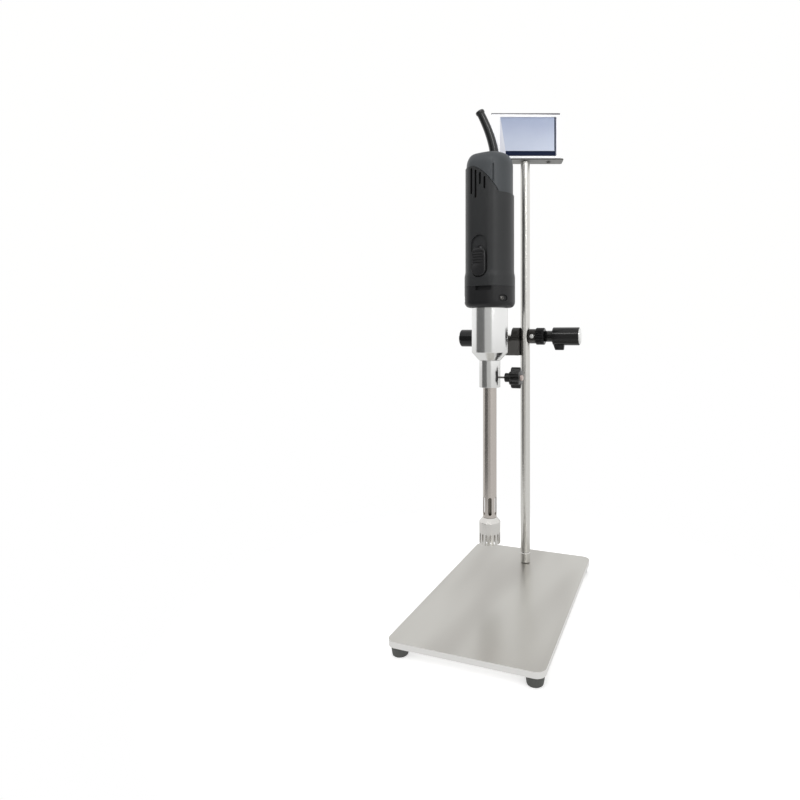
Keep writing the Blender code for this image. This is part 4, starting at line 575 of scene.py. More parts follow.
def clampHandle(prefix, sign):
    centre = middle(prefix + "_screw")

    def ends(part):  # distance along the handle's own axis, from the middle of the whole
        low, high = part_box(prefix + part)
        return sorted((sign * low.x, sign * high.x))

    def finished(piece, part, sharp=34):
        dressed(shifted(piece, (0, centre.y, centre.z), "Y", sign * quarter), prefix + part, sharp)

    start, end = ends("_lock_ring")
    outline = knurledOutline(width(prefix + "_lock_ring").z / 2)
    trim, shrink = handle["ringTrim"], handle["ringShrink"]
    rings = [[(x * k, y * k, z) for x, y in outline] for k, z in
             ((shrink, start), (1.0, start + trim), (1.0, end - trim), (shrink, end))]
    finished(skinned("lockRing", rings), "_lock_ring")
    start, end = ends("_grip")
    capStart, capEnd = ends("_cap")
    low = start + handle["neckLength"]
    reach, edge, neck, trim = handle["radius"], handle["edge"], handle["neck"], handle["neckTrim"]
    seat = handle["capRadius"] + gap
    grip = turned("handleGrip", [
        (0, start), (neck - trim, start), (neck, start + trim), (neck, low - handle["neckBlend"]),
        (neck + trim, low - handle["neckSoft"]), (reach - edge * 1.4, low),
        *corner(reach - edge, low + edge, edge, -60, 0), *corner(reach - edge, end - edge, edge, 0, 90),
        (seat, end), (seat, capStart - gap), (0, capStart - gap)], gripSides)
    high, taper, half = low + handle["lugLength"], handle["lugTaper"], handle["lugWidth"] / 2
    faces = ((reach - handle["lugRoot"], half, low, high),
             (reach + handle["lugHeight"], half * 0.8, low + taper, high - taper / 3))
    lug = skinned("lug", [
        [(x * sign, -y, first), (x * sign, y, first), (x * sign, y, last), (x * sign, -y, last)]
        for x, y, first, last in faces])
    joined(grip, softened(lug, handle["lugEdge"], 3, 25))
    finished(softened(grip, handle["gripEdge"], 2, 45), "_grip", 40)
    face, dome = handle["capRadius"], handle["capDome"]
    domed = [(face * s, capEnd - dome * s ** 4) for s in (0.3, 0.5, 0.7, 0.85, 0.94)]
    outline = [(0, capStart), (0, capEnd), *domed, (face, capEnd - dome * 1.5), (face, capStart)]
    finished(turned("gripCap", outline, barSides), "_cap")
    start, end = ends("_screw")
    finished(shank("clampScrew", start, end, handle["screw"], handle["tipTrim"], screwSides), "_screw")


castHead()
clampHandle("column_clamp", 1)
clampHandle("arm_clamp", -1)
# painted light on the head's lower block
enamel, paintedLightLine = finishes["clampEnamel"], rodZ - head["paintedLightDrop"]
enamel.tint(enamel.height().between(paintedLightLine, paintedLightLine - head["paintedLightBlend"]), (0.018, 0.016, 0.014),
            (0.088, 0.085, 0.081))  # painted light: below a line the head's lower block is coloured lighter than the barrel, for the light on its flat face


# Arm, metal nose and dispersing tool

print("tool")
sleeve = {"radius": 0.0245, "bore": 0.0220, "taper": 0.0110, "edge": 0.0005, "bend": 0.0010,
          "shoulder": 0.0155, "lowEdge": 0.0006, "outlet": 0.0109, "floor": 0.0060, "armHole": 0.0043,
          "spot": 0.0055, "spotDepth": 0.0006, "spotRise": 0.0050}
collar = {"radius": 0.0143, "spigot": 0.0106, "tube": 0.0095, "shaft": 0.0060, "depth": 0.032, "edge": 0.0005,
          "topEdge": 0.0003, "spot": 0.0130, "spotDepth": 0.0009, "screw": 0.0016}
tube = {"radius": 0.0092, "bore": 0.0077, "turn": 20.0, "windows": 6, "windowWidth": 0.0044,
        "windowLength": 0.0240, "windowRise": 0.0036, "edge": 0.0002}
stator = {"radius": 0.0144, "bore": 0.0118, "edge": 0.0004, "flare": 0.0056, "flareEdge": 0.0008,
          "lip": 0.0002, "roof": 0.0075, "spigot": 0.0026, "shaft": 0.0046, "slots": 16, "slotWidth": 0.0022,
          "slotLength": 0.0140, "slotEdge": 0.00015}
blades = {"count": 4, "thick": 0.0032, "hub": 0.0055, "clearance": 0.0005, "turn": 11.0, "bore": 0.0033,
          "sink": 0.0010, "edge": 0.0002}
shaft = {"neck": 0.0030, "neckTrim": 0.0004, "trim": 0.0005}


def armRod():
    low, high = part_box("arm_rod")
    start, back, end = sleeve["radius"] + gap, low.y - tool.y, high.y - tool.y
    reach, chamfer, stub = stem["radius"], stem["chamfer"], sleeve["armHole"] - gap
    rod = turned("armRod", [
        (0, back), (0, end), (reach - chamfer, end), (reach, end - chamfer), (reach, start + gap),
        (reach - gap, start), (stub, start), (stub, back)])
    dressed(onTool(shifted(rod, (0, 0, rodZ), "X", -quarter)), "arm_rod")


def metalNose():
    low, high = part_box("motor_sleeve")
    reach, edge, bore, outlet = sleeve["radius"], sleeve["edge"], sleeve["bore"], sleeve["outlet"]
    bend, lowEdge, shoulder = sleeve["bend"], sleeve["lowEdge"], low.z + sleeve["taper"]
    floor = shoulder + sleeve["floor"]
    made = turned("metalNose", [
        (bore, high.z), *corner(reach - edge, high.z - edge, edge, 90, 0),
        *corner(reach - bend, shoulder, bend, 0, -40),
        *corner(sleeve["shoulder"] - lowEdge, low.z + lowEdge, lowEdge, -40, -90),
        (outlet, low.z), (outlet, floor), (bore, floor)], fineSides)
    spotZ = rodZ + sleeve["spotRise"]
    carved(made, bar(sleeve["armHole"], (0, bore - past, rodZ), (0, reach + past, rodZ), thinSides),
           bar(sleeve["spot"], (reach - sleeve["spotDepth"], 0, spotZ), (reach + past, 0, spotZ)))
    dressed(onTool(made), "motor_sleeve")


def toolCollar():
    low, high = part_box("tool_collar")
    reach, edge, topEdge = collar["radius"], collar["edge"], collar["topEdge"]
    step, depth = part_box("motor_sleeve")[0].z - gap, low.z + collar["depth"]
    made = turned("toolCollar", [
        (collar["tube"], low.z), *corner(reach - edge, low.z + edge, edge, -90, 0),
        *corner(reach - topEdge, step - topEdge, topEdge, 0, 90), (collar["spigot"], step),
        (collar["spigot"], high.z), (collar["shaft"], high.z), (collar["shaft"], depth),
        (collar["tube"], depth)], fineSides)
    carved(made,
           bar(collar["spot"], (reach - collar["spotDepth"], 0, starZ), (reach + past, 0, starZ), barSides),
           bar(collar["screw"], (collar["tube"] - past, 0, starZ), (reach + past, 0, starZ), holeSides))
    dressed(onTool(made), "tool_collar")


def dispersingTube():
    low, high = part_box("outer_tube")
    reach, bore = tube["radius"], tube["bore"]
    made = turned("outerTube", [(bore, low.z), (reach, low.z), (reach, high.z), (bore, high.z)])
    bottom = low.z + tube["windowRise"]
    outline = roundedBox(tube["windowWidth"], tube["windowLength"], tube["windowWidth"] * 0.49, 8)
    for i in range(tube["windows"] // 2):
        slot = frontSlab("cutter", outline, 0, bottom + tube["windowLength"] / 2, -reach - past, reach + past)
        boolean(made, shifted(slot, angle=math.tau * i / tube["windows"]), "DIFFERENCE")
    softened(cleaned(made), tube["edge"], 2, 40)
    dressed(onTool(made, tube["turn"]), "outer_tube")


def statorHead():
    low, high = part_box("stator_head")
    reach, bore, edge, flareEdge = stator["radius"], stator["bore"], stator["edge"], stator["flareEdge"]
    top = high.z - stator["spigot"]
    flare = top - stator["flare"]
    roof = flare - stator["roof"]
    spigot = tube["bore"] - gap
    made = turned("statorHead", [
        (bore, low.z), *corner(reach - edge, low.z + edge, edge, -90, 0),
        *corner(reach - flareEdge, flare - flareEdge / 2, flareEdge, 0, 44),
        (tube["radius"] + stator["lip"], top), (spigot, top), (spigot, high.z), (stator["shaft"], high.z),
        (stator["shaft"], roof), (bore, roof)], fineSides)
    for i in range(stator["slots"] // 2):
        slot = brick((-stator["slotWidth"] / 2, -reach - past, low.z - past),
                     (stator["slotWidth"] / 2, reach + past, low.z + stator["slotLength"]))
        boolean(made, shifted(slot, angle=math.tau * i / stator["slots"]), "DIFFERENCE")
    softened(cleaned(made), stator["slotEdge"], 2, 40)
    dressed(onTool(made), "stator_head")


def spinningParts():
    low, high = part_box("rotor")
    reach, half = stator["bore"] - blades["clearance"], blades["thick"] / 2
    bore, radius = blades["bore"], blades["hub"]
    outline = [(bore, low.z), (radius, low.z), (radius, high.z), (bore, high.z)]
    hub = turned("rotorBlades", outline, smallSides)
    for i in range(blades["count"]):
        blade = brick((radius - blades["sink"], -half, low.z), (reach, half, high.z))
        boolean(hub, shifted(blade, angle=math.tau * i / blades["count"]), "UNION")
    softened(cleaned(hub), blades["edge"], 2, 40)
    dressed(onTool(hub, blades["turn"]), "rotor")
    neckTop = high.z + gap
    low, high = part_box("drive_shaft")
    neck, trim, chamfer = shaft["neck"], shaft["neckTrim"], shaft["trim"]
    reach = width("drive_shaft").x / 2
    made = turned("driveShaft", [
        (0, low.z), (neck - trim, low.z), (neck, low.z + trim), (neck, neckTop), (reach, neckTop),
        (reach, high.z - chamfer), (reach - chamfer, high.z), (0, high.z)], smallSides)
    dressed(onTool(made), "drive_shaft")


armRod()
metalNose()
toolCollar()
dispersingTube()
statorHead()
spinningParts()


# Star screw

print("star screw")
star = {"hub": 0.0061, "hubLength": 0.0084, "radius": 0.0142, "valley": 0.0096, "lobes": 6,
        "edge": 0.0016, "shrink": 0.11, "hole": 0.0016, "cap": 0.0038, "capLength": 0.0050, "capEdge": 0.0010,
        "tipTrim": 0.0004, "lobeEdge": 0.0004}


def onStar(piece):
    return onTool(shifted(piece, (0, 0, starZ), "Y", quarter))


def starScrew():
    low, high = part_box("star_knob")
    start, end = low.x - tool.x, high.x - tool.x
    lobesFrom, edge = start + star["hubLength"], star["edge"]
    steps = star["lobes"] * 20
    outline = []
    for i in range(steps):
        wave = (1 + math.cos(star["lobes"] * math.tau * i / steps)) / 2
        reach = star["valley"] + (star["radius"] - star["valley"]) * wave ** 0.6
        outline.append((reach * math.cos(math.tau * i / steps), reach * math.sin(math.tau * i / steps)))
    rings = []
    for step in range(5):
        a = quarter * step / 4
        rings.append((1 - star["shrink"] * (1 - math.sin(a)), lobesFrom + edge * (1 - math.cos(a))))
    rings += [(k, lobesFrom + end - z) for k, z in reversed(rings)]
    made = skinned("starKnob", [[(x * k, y * k, z) for x, y in outline] for k, z in rings])
    joined(made, pin(star["hub"], start, lobesFrom + edge, barSides))
    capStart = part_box("star_cap")[0].x - tool.x
    capEnd = capStart + star["capLength"]
    carved(made, pin(star["cap"] + gap, capStart - gap, end + past),
           pin(star["hole"], start - past, lobesFrom + gap, holeSides))
    softened(made, star["lobeEdge"], 2, 50)
    dressed(onStar(made), "star_knob", 42)
    reach, edge = star["cap"], star["capEdge"]
    cap = turned("starCap", [(0, capStart), (0, capEnd), *corner(reach - edge, capEnd - edge, edge, 90, 0),
                             (reach, capStart)], smallSides)
    dressed(onStar(cap), "star_cap")
    low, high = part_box("star_screw")
    reach = width("star_screw").z / 2
    made = shank("starShank", low.x - tool.x, high.x - tool.x, reach, star["tipTrim"], thinSides)
    dressed(onStar(made), "star_screw")


starScrew()


# Motor housing, in its own axes with the switch towards the front

print("motor")
motor = {"turn": -10.0, "radius": 0.0332, "flat": 0.0300, "flare": 0.0012, "bore": 0.0255, "sharpness": 20,
         "capInset": 0.0015, "lowRise": 0.0130, "lowBlend": 0.0080, "roundHeight": 0.0150,
         "roundBlend": 0.0040, "topRadius": 0.0222, "topWall": 0.0100, "tongue": 0.0361,
         "tongueRight": 0.0240, "shoulder": 0.0355, "power": 1.4, "groove": 0.0019, "grooveDepth": 0.0012,
         "grooveLength": 0.0240, "grooveX": 0.0190, "grooveRise": 0.0016, "bootBase": 0.0067,
         "edge": 0.0005, "capEdge": 0.0006}
vent = {"count": 4, "width": 0.0029, "pitch": 0.0067, "left": 0.0121, "topDrop": 0.0025, "bottomDrop": 0.0010,
        "step": 0.0060, "short": 0.0110}
nose = {"height": 0.0272, "lipInset": 0.0008, "round": 0.0080, "roundWidth": 0.0062, "edge": 0.0004,
        "neckLength": 0.0250, "neckRadius": 0.0217, "neckCavity": 0.0190, "cavityDrop": 0.0140, "web": 0.0040,
        "shaftBore": 0.0090, "couplingBore": 0.0113, "couplingDrop": 0.0073, "slotWidth": 0.0230,
        "slotHeight": 0.0054, "slotDepth": 0.0030, "slotX": 0.0065, "screwAngle": 58.0, "screwRise": 0.0115,
        "ovalWidth": 0.0078, "ovalHeight": 0.0047, "ovalDepth": 0.0024, "drill": 0.0019, "screwHead": 0.0030,
        "screwHeight": 0.0018, "screwShank": 0.0016, "screwLength": 0.0040, "crossWidth": 0.0004,
        "crossTurn": 0.4}
slide = {"recessWidth": 0.0243, "recessHeight": 0.0563, "recessDepth": 0.0026, "recessRise": 0.0113,
         "width": 0.0206, "height": 0.0365, "proud": 0.0030, "rise": 0.0022, "edge": 0.0016,
         "stemWidth": 0.0060, "stemHeight": 0.0180, "stemDepth": 0.0017, "stemRoot": 0.0010,
         "travel": 0.0120, "corner": 0.0080, "ribs": 5, "ribPitch": 0.0036, "ribDepth": 0.0009,
         "ribEdge": 0.0003}
boot = {"lean": 200.0, "offset": 0.0065, "seat": 0.0050, "height": 0.0617, "base": 0.0064, "tip": 0.0053,
        "rim": 0.0062, "rimLength": 0.0040, "rimStep": 0.0004, "topDrop": 0.0006, "topStep": 0.0005,
        "bend": 1.57, "reach": 0.0205, "mouth": 0.0034, "mouthDepth": 0.0030, "steps": 26}
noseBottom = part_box("motor_sleeve")[1].z + gap
noseTop = noseBottom + nose["height"]
bodyBottom = noseTop + gap
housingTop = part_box("motor_cap")[1].z
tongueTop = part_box("motor_body")[1].z
capLine = tongueTop - motor["tongue"]
recessFloor = slide["recessDepth"] - motor["flat"]
ovalFloor = motor["radius"] + motor["flare"] - nose["ovalDepth"]
screwZ = noseBottom + nose["screwRise"]


def onMotor(piece):
    return onTool(piece, motor["turn"])


def housingRing(radius, height):  # a round section with one soft flat at the front
    flat = motor["flat"] * radius / motor["radius"]
    sharp = motor["sharpness"]
    ring = []
    for i in range(roundSides):
        a = math.tau * i / roundSides
        facing = max(-math.sin(a), 0.0)
        reach = (radius ** -sharp + (facing / flat) ** sharp) ** (-1 / sharp)
        ring.append((reach * math.cos(a), reach * math.sin(a), height))
    return ring


def housing(name, radius):
    flare, blend, tall, top = motor["flare"], motor["lowBlend"], motor["roundHeight"], motor["topRadius"]
    roundStart = housingTop - tall
    low = bodyBottom + motor["lowRise"]
    rings = [housingRing(radius + flare, bodyBottom), housingRing(radius + flare, low)]
    for s in (0.25, 0.5, 0.75):
        rings.append(housingRing(radius + flare - flare * s * s * (3 - 2 * s), low + blend * s))
    rings += [housingRing(radius, low + blend), housingRing(radius, roundStart - motor["roundBlend"])]
    steps = 14
    for i in range(1, steps + 1):
        a = quarter * i / steps
        reach = top + (radius - top) * math.cos(a) ** 0.9
        rings.append(housingRing(reach, roundStart + tall * math.sin(a) ** 1.15))
    return skinned(name, rings)


def tongueHeight(x):
    share = min(max((x - motor["tongueRight"] + motor["shoulder"]) / motor["shoulder"], 0.0), 1.0)
    return capLine + motor["tongue"] * (1 - share ** motor["power"]) ** (1 / motor["power"])


def belowCapLine(extra=0.0):
    far = motor["radius"] * 2
    outline = [(-far, bodyBottom - 0.01), (far, bodyBottom - 0.01), (far, capLine + extra)]
    steps, power = 28, 2 / motor["power"]
    for i in range(steps + 1):
        a = quarter * i / steps
        across = max(math.cos(a), 0.0) ** power
        outline.append((motor["tongueRight"] - motor["shoulder"] * (1 - across) + extra,
                        capLine + motor["tongue"] * math.sin(a) ** power + extra))
    outline.append((-far, tongueTop + extra))
    return frontSlab("cutter", outline, 0, 0, -far, far)


def motorBody():
    body = housing("motorBody", motor["radius"])
    boolean(body, belowCapLine(), "INTERSECT")
    outside = -motor["radius"] - 2 * past
    tools = [pin(motor["bore"], bodyBottom - past, tongueTop + past, wideSides)]
    for i in range(vent["count"]):
        x = i * vent["pitch"] - vent["left"]
        top = tongueHeight(x + vent["width"] / 2) - vent["topDrop"]
        bottom = capLine - vent["bottomDrop"] - vent["step"] * (i % 2)
        if i >= vent["count"] // 2:
            bottom += vent["short"]
        outline = roundedBox(vent["width"], top - bottom, vent["width"] * 0.49, 6)
        tools.append(frontSlab("cutter", outline, x, (top + bottom) / 2, outside, -motor["bore"] * 0.7))
    recess = roundedBox(slide["recessWidth"], slide["recessHeight"], slide["recessWidth"] * 0.499, 16)
    recessLow = bodyBottom + slide["recessRise"]
    tools.append(frontSlab("cutter", recess, 0, recessLow + slide["recessHeight"] / 2, outside, recessFloor))
    low = recessLow + slide["rise"] + (slide["height"] - slide["stemHeight"]) / 2 - gap
    half, high = slide["stemWidth"] / 2 + gap, low + slide["stemHeight"] + slide["travel"] + 3 * gap
    tools.append(brick((-half, recessFloor - slide["stemRoot"], low), (half, past - motor["bore"], high)))
    carved(body, *tools)
    softened(body, motor["edge"], 3, 38)
    dressed(onMotor(body), "motor_body", 50)


def motorCap():
    radius = motor["radius"] - motor["capInset"]
    cap = housing("motorCap", radius)
    lean = math.radians(boot["lean"] - motor["turn"])
    spot = (-boot["offset"] * math.cos(lean), -boot["offset"] * math.sin(lean))
    x, wide, tall = motor["grooveX"], motor["groove"], motor["grooveLength"]
    grooveMiddle = tongueHeight(x) + motor["grooveRise"] + tall / 2
    face = -math.sqrt(radius ** 2 - x ** 2)
    groove = frontSlab("cutter", roundedBox(wide, tall, wide * 0.49, 6), x, grooveMiddle, face - 3 * past,
                       face + motor["grooveDepth"])
    carved(cap, belowCapLine(gap),
           pin(motor["bore"], bodyBottom - past, housingTop - motor["topWall"], wideSides),
           pin(motor["bootBase"], housingTop - boot["seat"], housingTop + past, smallSides, spot), groove)
    softened(cap, motor["capEdge"], 3, 38)
    dressed(onMotor(cap), "motor_cap", 50)


def motorNose():
    wide, steps = motor["radius"] + motor["flare"], 10
    rings = []
    for i in range(steps + 1):
        a = quarter * i / steps
        inset = nose["roundWidth"] * (1 - math.sin(a))
        rings.append(housingRing(wide - inset, noseBottom + nose["round"] * (1 - math.cos(a))))
    rings.append(housingRing(wide, noseTop))
    band = skinned("motorNose", rings)
    neckLow, web = noseBottom - nose["neckLength"], noseBottom + nose["web"]
    joined(band, pin(nose["neckRadius"], neckLow, web, wideSides))
    reach = wide - nose["lipInset"]
    lip = skinned("cutter", [housingRing(reach, noseTop - 2 * past), housingRing(reach, noseTop + gap * 0.8)])
    joined(band, lip)  # it closes the view through the seam above
    half = nose["slotWidth"] / 2
    tools = [pin(nose["neckCavity"], neckLow - past, noseBottom - nose["cavityDrop"], wideSides),
             pin(nose["shaftBore"], neckLow - past, noseTop),
             pin(nose["couplingBore"], noseBottom - nose["couplingDrop"], noseTop),
             pin(motor["bore"], web, noseTop + past, wideSides),
             brick((nose["slotX"] - half, -wide - past, noseTop - nose["slotHeight"]),
                   (nose["slotX"] + half, nose["slotDepth"] - motor["flat"], noseTop + past))]
    oval = [(x * nose["ovalWidth"], y * nose["ovalHeight"]) for x, y in circle(1.0, screwSides)]
    outer, inner = -ovalFloor - past / 2, nose["screwLength"] + gap - ovalFloor
    for side in (-1, 1):
        pocket = frontSlab("cutter", oval, 0, screwZ, -wide - 2 * past, -ovalFloor)
        drill = bar(nose["drill"], (0, outer, screwZ), (0, inner, screwZ), holeSides)
        angle = math.radians(side * nose["screwAngle"])
        tools += [shifted(pocket, angle=angle), shifted(drill, angle=angle)]
    carved(band, *tools)
    softened(band, nose["edge"], 3, 38)
    dressed(onMotor(band), "motor_nose", 50)


def noseScrew(node, side):
    reach, rise = nose["screwHead"], nose["screwHeight"]
    thread, deep = nose["screwShank"], -nose["screwLength"]
    screw = turned("noseScrew", [
        (0, deep), (0, rise), (reach * 0.45, rise * 0.96), (reach * 0.8, rise * 0.72), (reach, rise * 0.3),
        (reach, 0), (thread, 0), (thread, deep)], screwSides)
    half, thick = reach * 0.55, nose["crossWidth"]
    for turn in (0, quarter):
        cross = brick((-half, -thick, rise * 0.35), (half, thick, rise + past))
        boolean(screw, shifted(cross, angle=turn + nose["crossTurn"]), "DIFFERENCE")
    shifted(cleaned(screw), (0, -ovalFloor - gap, screwZ), "X", quarter)
    shifted(screw, angle=math.radians(side * nose["screwAngle"]))
    dressed(onMotor(screw), node)


def slideSwitch():
    centre = bodyBottom + slide["recessRise"] + slide["rise"] + slide["height"] / 2
    outer = -motor["flat"] - slide["proud"]
    outline = roundedBox(slide["width"], slide["height"], slide["corner"], 12)
    made = frontSlab("switchSlider", outline, 0, centre, outer, recessFloor - gap)
    softened(made, slide["edge"], 4, 60)
    half, tall = slide["stemWidth"] / 2, slide["stemHeight"] / 2
    joined(made, brick((-half, recessFloor - slide["stemRoot"], centre - tall),
                       (half, recessFloor + slide["stemDepth"], centre + tall)))
    pitch = slide["ribPitch"]
    rib = roundedBox(slide["width"] * 0.76, pitch * 0.46, pitch * 0.22, 5)
    heights = [centre + pitch * (i - slide["ribs"] / 2 + 2) for i in range(slide["ribs"])]
    carved(made, *[frontSlab("cutter", rib, 0, z, outer - past, outer + slide["ribDepth"]) for z in heights])
    softened(made, slide["ribEdge"], 2, 45)
    dressed(onMotor(made), "switch_slider", 42)


def cordBoot():  # the strain relief on top of the motor, bending to the left
    turn = math.radians(boot["lean"])
    lean, up = Vector((math.cos(turn), math.sin(turn), 0)), Vector((0, 0, 1))
    side = Vector((-lean.y, lean.x, 0))
    height, reach, bend = boot["height"], boot["reach"], boot["bend"]
    start = up * housingTop - lean * boot["offset"]

    def ring(share, radius, move=0.0):
        forward = (up * height + lean * reach * bend * share ** (bend - 1)).normalized()
        across = side.cross(forward)
        centre = start + up * height * share + lean * reach * share ** bend + forward * move
        return [centre + side * x + across * y for x, y in circle(radius)]

    base, tip, rim, mouth = boot["base"], boot["tip"], boot["rim"], boot["mouth"]
    rimLength = boot["rimLength"]
    rimFrom = 1 - rimLength / height
    rings = [ring(0.0, base, gap - boot["seat"])]
    for i in range(boot["steps"] + 1):
        share = rimFrom * i / boot["steps"]
        rings.append(ring(share, base + (tip - base) * share))
    rings += [ring(rimFrom, rim - boot["rimStep"], rimLength * 0.15), ring(rimFrom, rim, rimLength * 0.3),
              ring(1.0, rim, -boot["topDrop"]), ring(1.0, rim - boot["topStep"]), ring(1.0, mouth),
              ring(1.0, mouth * 0.9, -boot["mouthDepth"])]
    dressed(onTool(skinned("cordBoot", rings)), "cord_boot", 45)


motorBody()
motorCap()
motorNose()
noseScrew("nose_screw_left", -1)
noseScrew("nose_screw_right", 1)
slideSwitch()
cordBoot()


# Display on its tray, in its own axes with the front towards -Y

print("display")
display = {"turn": 20.0, "corner": 0.0040, "bezelDepth": 0.0045, "lip": 0.0014, "windowWidth": 0.0838,
           "windowHeight": 0.0580, "windowX": 0.0037, "windowZ": -0.0004, "windowCorner": 0.0010,
           "overlap": 0.0010, "pane": 0.0020, "wall": 0.0024, "width": 0.1055, "depth": 0.022,
           "screwSpread": 0.070, "screwHole": 0.0019, "topHole": 0.0055, "glandHole": 0.0048,
           "glandHeight": 0.016, "screenSheet": 0.00012, "screenSheetGap": 0.00001, "edge": 0.0007, "caseEdge": 0.0008}
gland = {"bore": 0.0018, "neck": 0.0045, "radius": 0.0060, "trim": 0.0004, "thick": 0.0050, "nut": 0.0054,
         "nutEnd": 0.0056, "tip": 0.0040, "tipEnd": 0.0085, "mouth": 0.0034, "length": 0.0090}
tray = {"width": 0.112, "corner": 0.0030, "screwHole": 0.0028, "edge": 0.0005}
screenSheet = {"left": -0.0375, "lowLeft": -0.0298, "right": 0.0424, "edge": 0.0447, "bottom": 0.0037, "band": 0.0113,
       "top": 0.0612}
# sizes of the dark strip along the box's top edge, which is painted shade
trim = {"left": -0.0510, "right": 0.0505, "thin": 0.0009, "thick": 0.0021, "proud": 0.0002, "rise": 0.0012,
        "deep": 0.0180}
displayLow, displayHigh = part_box("display_bezel")[0].z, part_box("display_bezel")[1].z
displayMiddle = (displayLow + displayHigh) / 2
displayFront = -display["depth"] / 2


def onDisplay(piece):
    return onColumn(piece, display["turn"])


def screwHoles(low, high):
    half = display["screwSpread"] / 2
    return [pin(display["screwHole"], low, high, holeSides, (x, 0)) for x in (-half, half)]


def displayTray():
    low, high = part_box("display_tray")
    made = slab("displayTray", roundedBox(tray["width"], display["depth"], tray["corner"]), low.z, high.z)
    under, over = low.z - past, high.z + past
    carved(made, pin(tray["screwHole"], under, over, holeSides), *screwHoles(under, over))
    softened(made, tray["edge"], 3)
    dressed(onDisplay(made), "display_tray")


def boxOutline(inset=0.0):
    height = displayHigh - displayLow
    return roundedBox(display["width"] - 2 * inset, height - 2 * inset, display["corner"] - inset * 0.8)


def windowSlab(name, grow, front, back):
    wide, tall = display["windowWidth"] + grow, display["windowHeight"] + grow
    outline = roundedBox(wide, tall, display["windowCorner"], 6)
    return frontSlab(name, outline, display["windowX"], displayMiddle + display["windowZ"], front, back)


def displayBezel():
    seam, seat = displayFront + display["bezelDepth"], displayFront + display["lip"]
    grow = 2 * display["overlap"]
    bezel = frontSlab("displayBezel", boxOutline(), 0, displayMiddle, displayFront, seam)
    carved(bezel, windowSlab("cutter", 0.0, displayFront - past, seam + past),
           windowSlab("cutter", grow + 2 * gap, seat, seam + past))
    softened(bezel, display["edge"], 3, 50)
    dressed(onDisplay(bezel), "display_bezel")
    face = seat + gap
    dressed(onDisplay(windowSlab("displayWindow", grow, face, face + display["pane"])), "display_window")
    left, lowLeft, right, edge = screenSheet["left"], screenSheet["lowLeft"], screenSheet["right"], screenSheet["edge"]
    bottom, band, top = screenSheet["bottom"], screenSheet["band"], screenSheet["top"]
    # the navy band along the right and bottom of the screen is painted shade of the recess edges
    sheets = {
        "screenField": ("screenBlue", [(left, top), (lowLeft, band), (right, band), (right, top)]),
        "screenShadeBand": ("screenNavy", [(lowLeft, bottom), (edge, bottom), (edge, top), (right, top),
                                      (right, band), (lowLeft, band)])}
    for name, (look, outline) in sheets.items():
        sheet = frontSlab(name, outline, 0, displayLow, face - display["screenSheet"], face - display["screenSheetGap"])
        dressed(onDisplay(sheet), "display_window", finish=finishes[look])
    # a dark strip along the box's top edge: painted shade of that edge
    left, right = trim["left"], trim["right"]
    outline = [(left, -trim["thin"]), (right, -trim["thick"]), (right, 0), (left, 0)]
    front, back = displayFront - trim["proud"], displayFront + trim["deep"]
    strip = frontSlab("topShadeStrip", outline, 0, displayHigh + trim["rise"], front, back)
    dressed(onDisplay(strip), "display_bezel", finish=finishes["trimGrey"])


def displayCase():
    front, back, wall = displayFront + display["bezelDepth"] + gap, display["depth"] / 2, display["wall"]
    case = frontSlab("displayCase", boxOutline(), 0, displayMiddle, front, back)
    low, floor = displayLow - past, displayLow + wall + past
    hole = displayLow + display["glandHeight"]
    carved(case, frontSlab("cutter", boxOutline(wall), 0, displayMiddle, front - past, back - wall),
           *screwHoles(low, floor), pin(display["topHole"], low, floor, screwSides),
           bar(display["glandHole"], (0, back - wall - past, hole), (0, back + past, hole), screwSides))
    softened(case, display["caseEdge"], 3, 50)
    dressed(onDisplay(case), "display_case")
    bore, neck, reach, chamfer = gland["bore"], gland["neck"], gland["radius"], gland["trim"]
    cap = turned("displayGland", [
        (bore, -wall), (neck, -wall), (neck, gap), (reach - chamfer, gap), (reach, gap + chamfer),
        (reach, gland["thick"]), (gland["nut"], gland["nutEnd"]), (gland["tip"], gland["tipEnd"]),
        (gland["mouth"], gland["length"]), (bore, gland["length"])], smallSides)
    dressed(onDisplay(shifted(cap, (0, back, hole), "X", -quarter)), "display_gland")


displayTray()
displayBezel()
displayCase()


# Camera, light and floor

print("camera and light")
view = {"place": (0.2217, -0.7011, 0.3582), "turnLeft": 20.01, "lookUp": 0.27, "lens": 24.97,
        "shiftX": -0.0945, "shiftY": -0.0848, "near": 0.02, "far": 60.0}
cameraData = bpy.data.cameras.new("camera")
camera = bpy.data.objects.new("camera", cameraData)
bpy.context.scene.collection.objects.link(camera)
bpy.context.scene.camera = camera
cameraData.lens = view["lens"]
cameraData.shift_x, cameraData.shift_y = view["shiftX"], view["shiftY"]
cameraData.clip_start, cameraData.clip_end = view["near"], view["far"]
yaw, pitch = math.radians(view["turnLeft"]), math.radians(view["lookUp"])
looking = Vector((-math.sin(yaw) * math.cos(pitch), math.cos(yaw) * math.cos(pitch), math.sin(pitch)))
camera.location = view["place"]
camera.rotation_mode = "QUATERNION"
camera.rotation_quaternion = looking.to_track_quat("-Z", "Y")

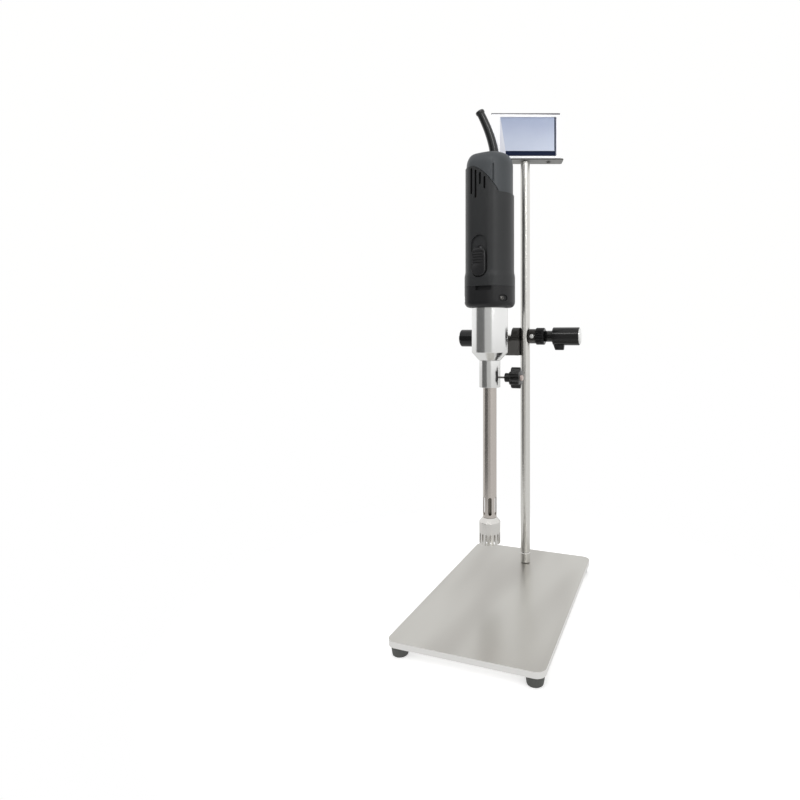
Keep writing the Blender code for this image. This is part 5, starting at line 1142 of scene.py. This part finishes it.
lamps = {
    "keyLamp": {"place": (-0.9, -1.3, 1.9), "size": 1.3, "power": 13.0},
    "fillLamp": {"place": (1.7, -1.0, 0.9), "size": 1.5, "power": 9.0},
    "topLamp": {"place": (0.1, 0.3, 2.2), "size": 1.6, "power": 11.0},
    "backLamp": {"place": (-1.2, 1.6, 1.2), "size": 1.4, "power": 6.0}}
target = Vector((0.0, 0.05, 0.30))
for name, lamp in lamps.items():
    data = bpy.data.lights.new(name, "AREA")
    data.energy, data.size = lamp["power"], lamp["size"]
    light = bpy.data.objects.new(name, data)
    bpy.context.scene.collection.objects.link(light)
    light.location = lamp["place"]
    light.visible_glossy = False
    light.rotation_mode = "QUATERNION"
    light.rotation_quaternion = (target - light.location).to_track_quat("-Z", "Y")

ambient = 0.55  # the world's light on the object; what the camera and the gloss see is plain white
world = bpy.data.worlds.new("studio")
bpy.context.scene.world = world
sky = Graph(world)
background = world.node_tree.nodes["Background"].inputs
seen = sky.rays("Camera") + sky.rays("Glossy") + sky.rays("Transmission")
strength = sky.node("MapRange", None, {"Value": seen, "To Min": ambient, "To Max": 1.0})
sky.feed(background["Strength"], strength)
background["Color"].default_value = (1.0, 1.0, 0.995, 1.0)

floorLight = {"size": 14.0, "glow": 0.48, "near": 0.24, "far": 0.42, "mirrored": 0.78}
paper = Finish("floorPaper", (0.80, 0.80, 0.80), 0.9)
floor = slab("floor", circle(floorLight["size"], barSides), -0.02, 0.0)
coated(floor, paper)
lit = Wire(paper, paper.shader.outputs[0])
fromCamera = paper.rays("Camera")
spread = paper.node("VectorMath", {"operation": "LENGTH"}, {0: paper.place()}, 1)
fading = fromCamera * spread.between(floorLight["near"], floorLight["far"])
lifted = paper.node("AddShader", None, {0: lit, 1: paper.glow(floorLight["glow"])})
shown = paper.blend(fading, paper.blend(fromCamera, lit, lifted), paper.glow(1.0))
mirrored = paper.glow(floorLight["mirrored"], (1.0, 1.0, 0.99))  # the metal sees a plain light floor
shown = paper.blend(paper.rays("Glossy"), shown, mirrored)
paper.feed(paper.tree.nodes["Material Output"].inputs[0], shown)


def mirroredOnly(sheet, colour, strength, shine):
    coated(sheet, Finish(sheet.name, (0.0, 0.0, 0.0), 1.0, shine=shine).emit(colour, strength))
    sheet.visible_camera = sheet.visible_diffuse = sheet.visible_shadow = sheet.visible_transmission = False


cards = {  # grey cards beside the camera that only the metal sees, from one bearing to another
    "darkCard": {"from": -96.0, "to": -34.0, "grey": 0.15},
    "midCard": {"from": -33.0, "to": 10.0, "grey": 0.52}}
cardProfile = ((0.5, 0.004), (2.4, 0.02), (2.4, 1.5))  # distance and height of its corners
cardSteps = 16
for name, card in cards.items():
    builder = bmesh.new()
    rows = []
    for i in range(cardSteps + 1):
        a = math.radians(card["from"] + (card["to"] - card["from"]) * i / cardSteps) + yaw
        rows.append([builder.verts.new((math.sin(a) * far, -math.cos(a) * far, z)) for far, z in cardProfile])
    for a, b in zip(rows, rows[1:]):
        for low in (0, 1):
            builder.faces.new((a[low], b[low], b[low + 1], a[low + 1]))
    mirroredOnly(meshPiece(name, builder), (card["grey"], card["grey"], card["grey"] * 0.98), 1.0, 0.0)

strips = {  # bright strips that only the gloss sees
    "topStrip": {"middle": (0.3, -1.6, 1.75), "across": 2.2, "tall": 0.24, "power": 7.0},
    "rightStrip": {"middle": (1.10, -1.45, 1.32), "across": 0.20, "tall": 0.95, "power": 6.5}}
for name, strip in strips.items():
    half, tall = strip["across"] / 2, strip["tall"] / 2
    sheet = frontSlab(name, [(-half, -tall), (half, -tall), (half, tall), (-half, tall)], 0, 0, -0.001, 0.001)
    centre = Vector(strip["middle"])
    facing = (target - centre).to_track_quat("Y", "Z").to_matrix().to_4x4()
    sheet.data.transform(Matrix.Translation(centre) @ facing)
    mirroredOnly(sheet, (1.0, 1.0, 0.99), strip["power"], 0.5)

scene = bpy.context.scene
scene.view_settings.view_transform = "Standard"
print("done")
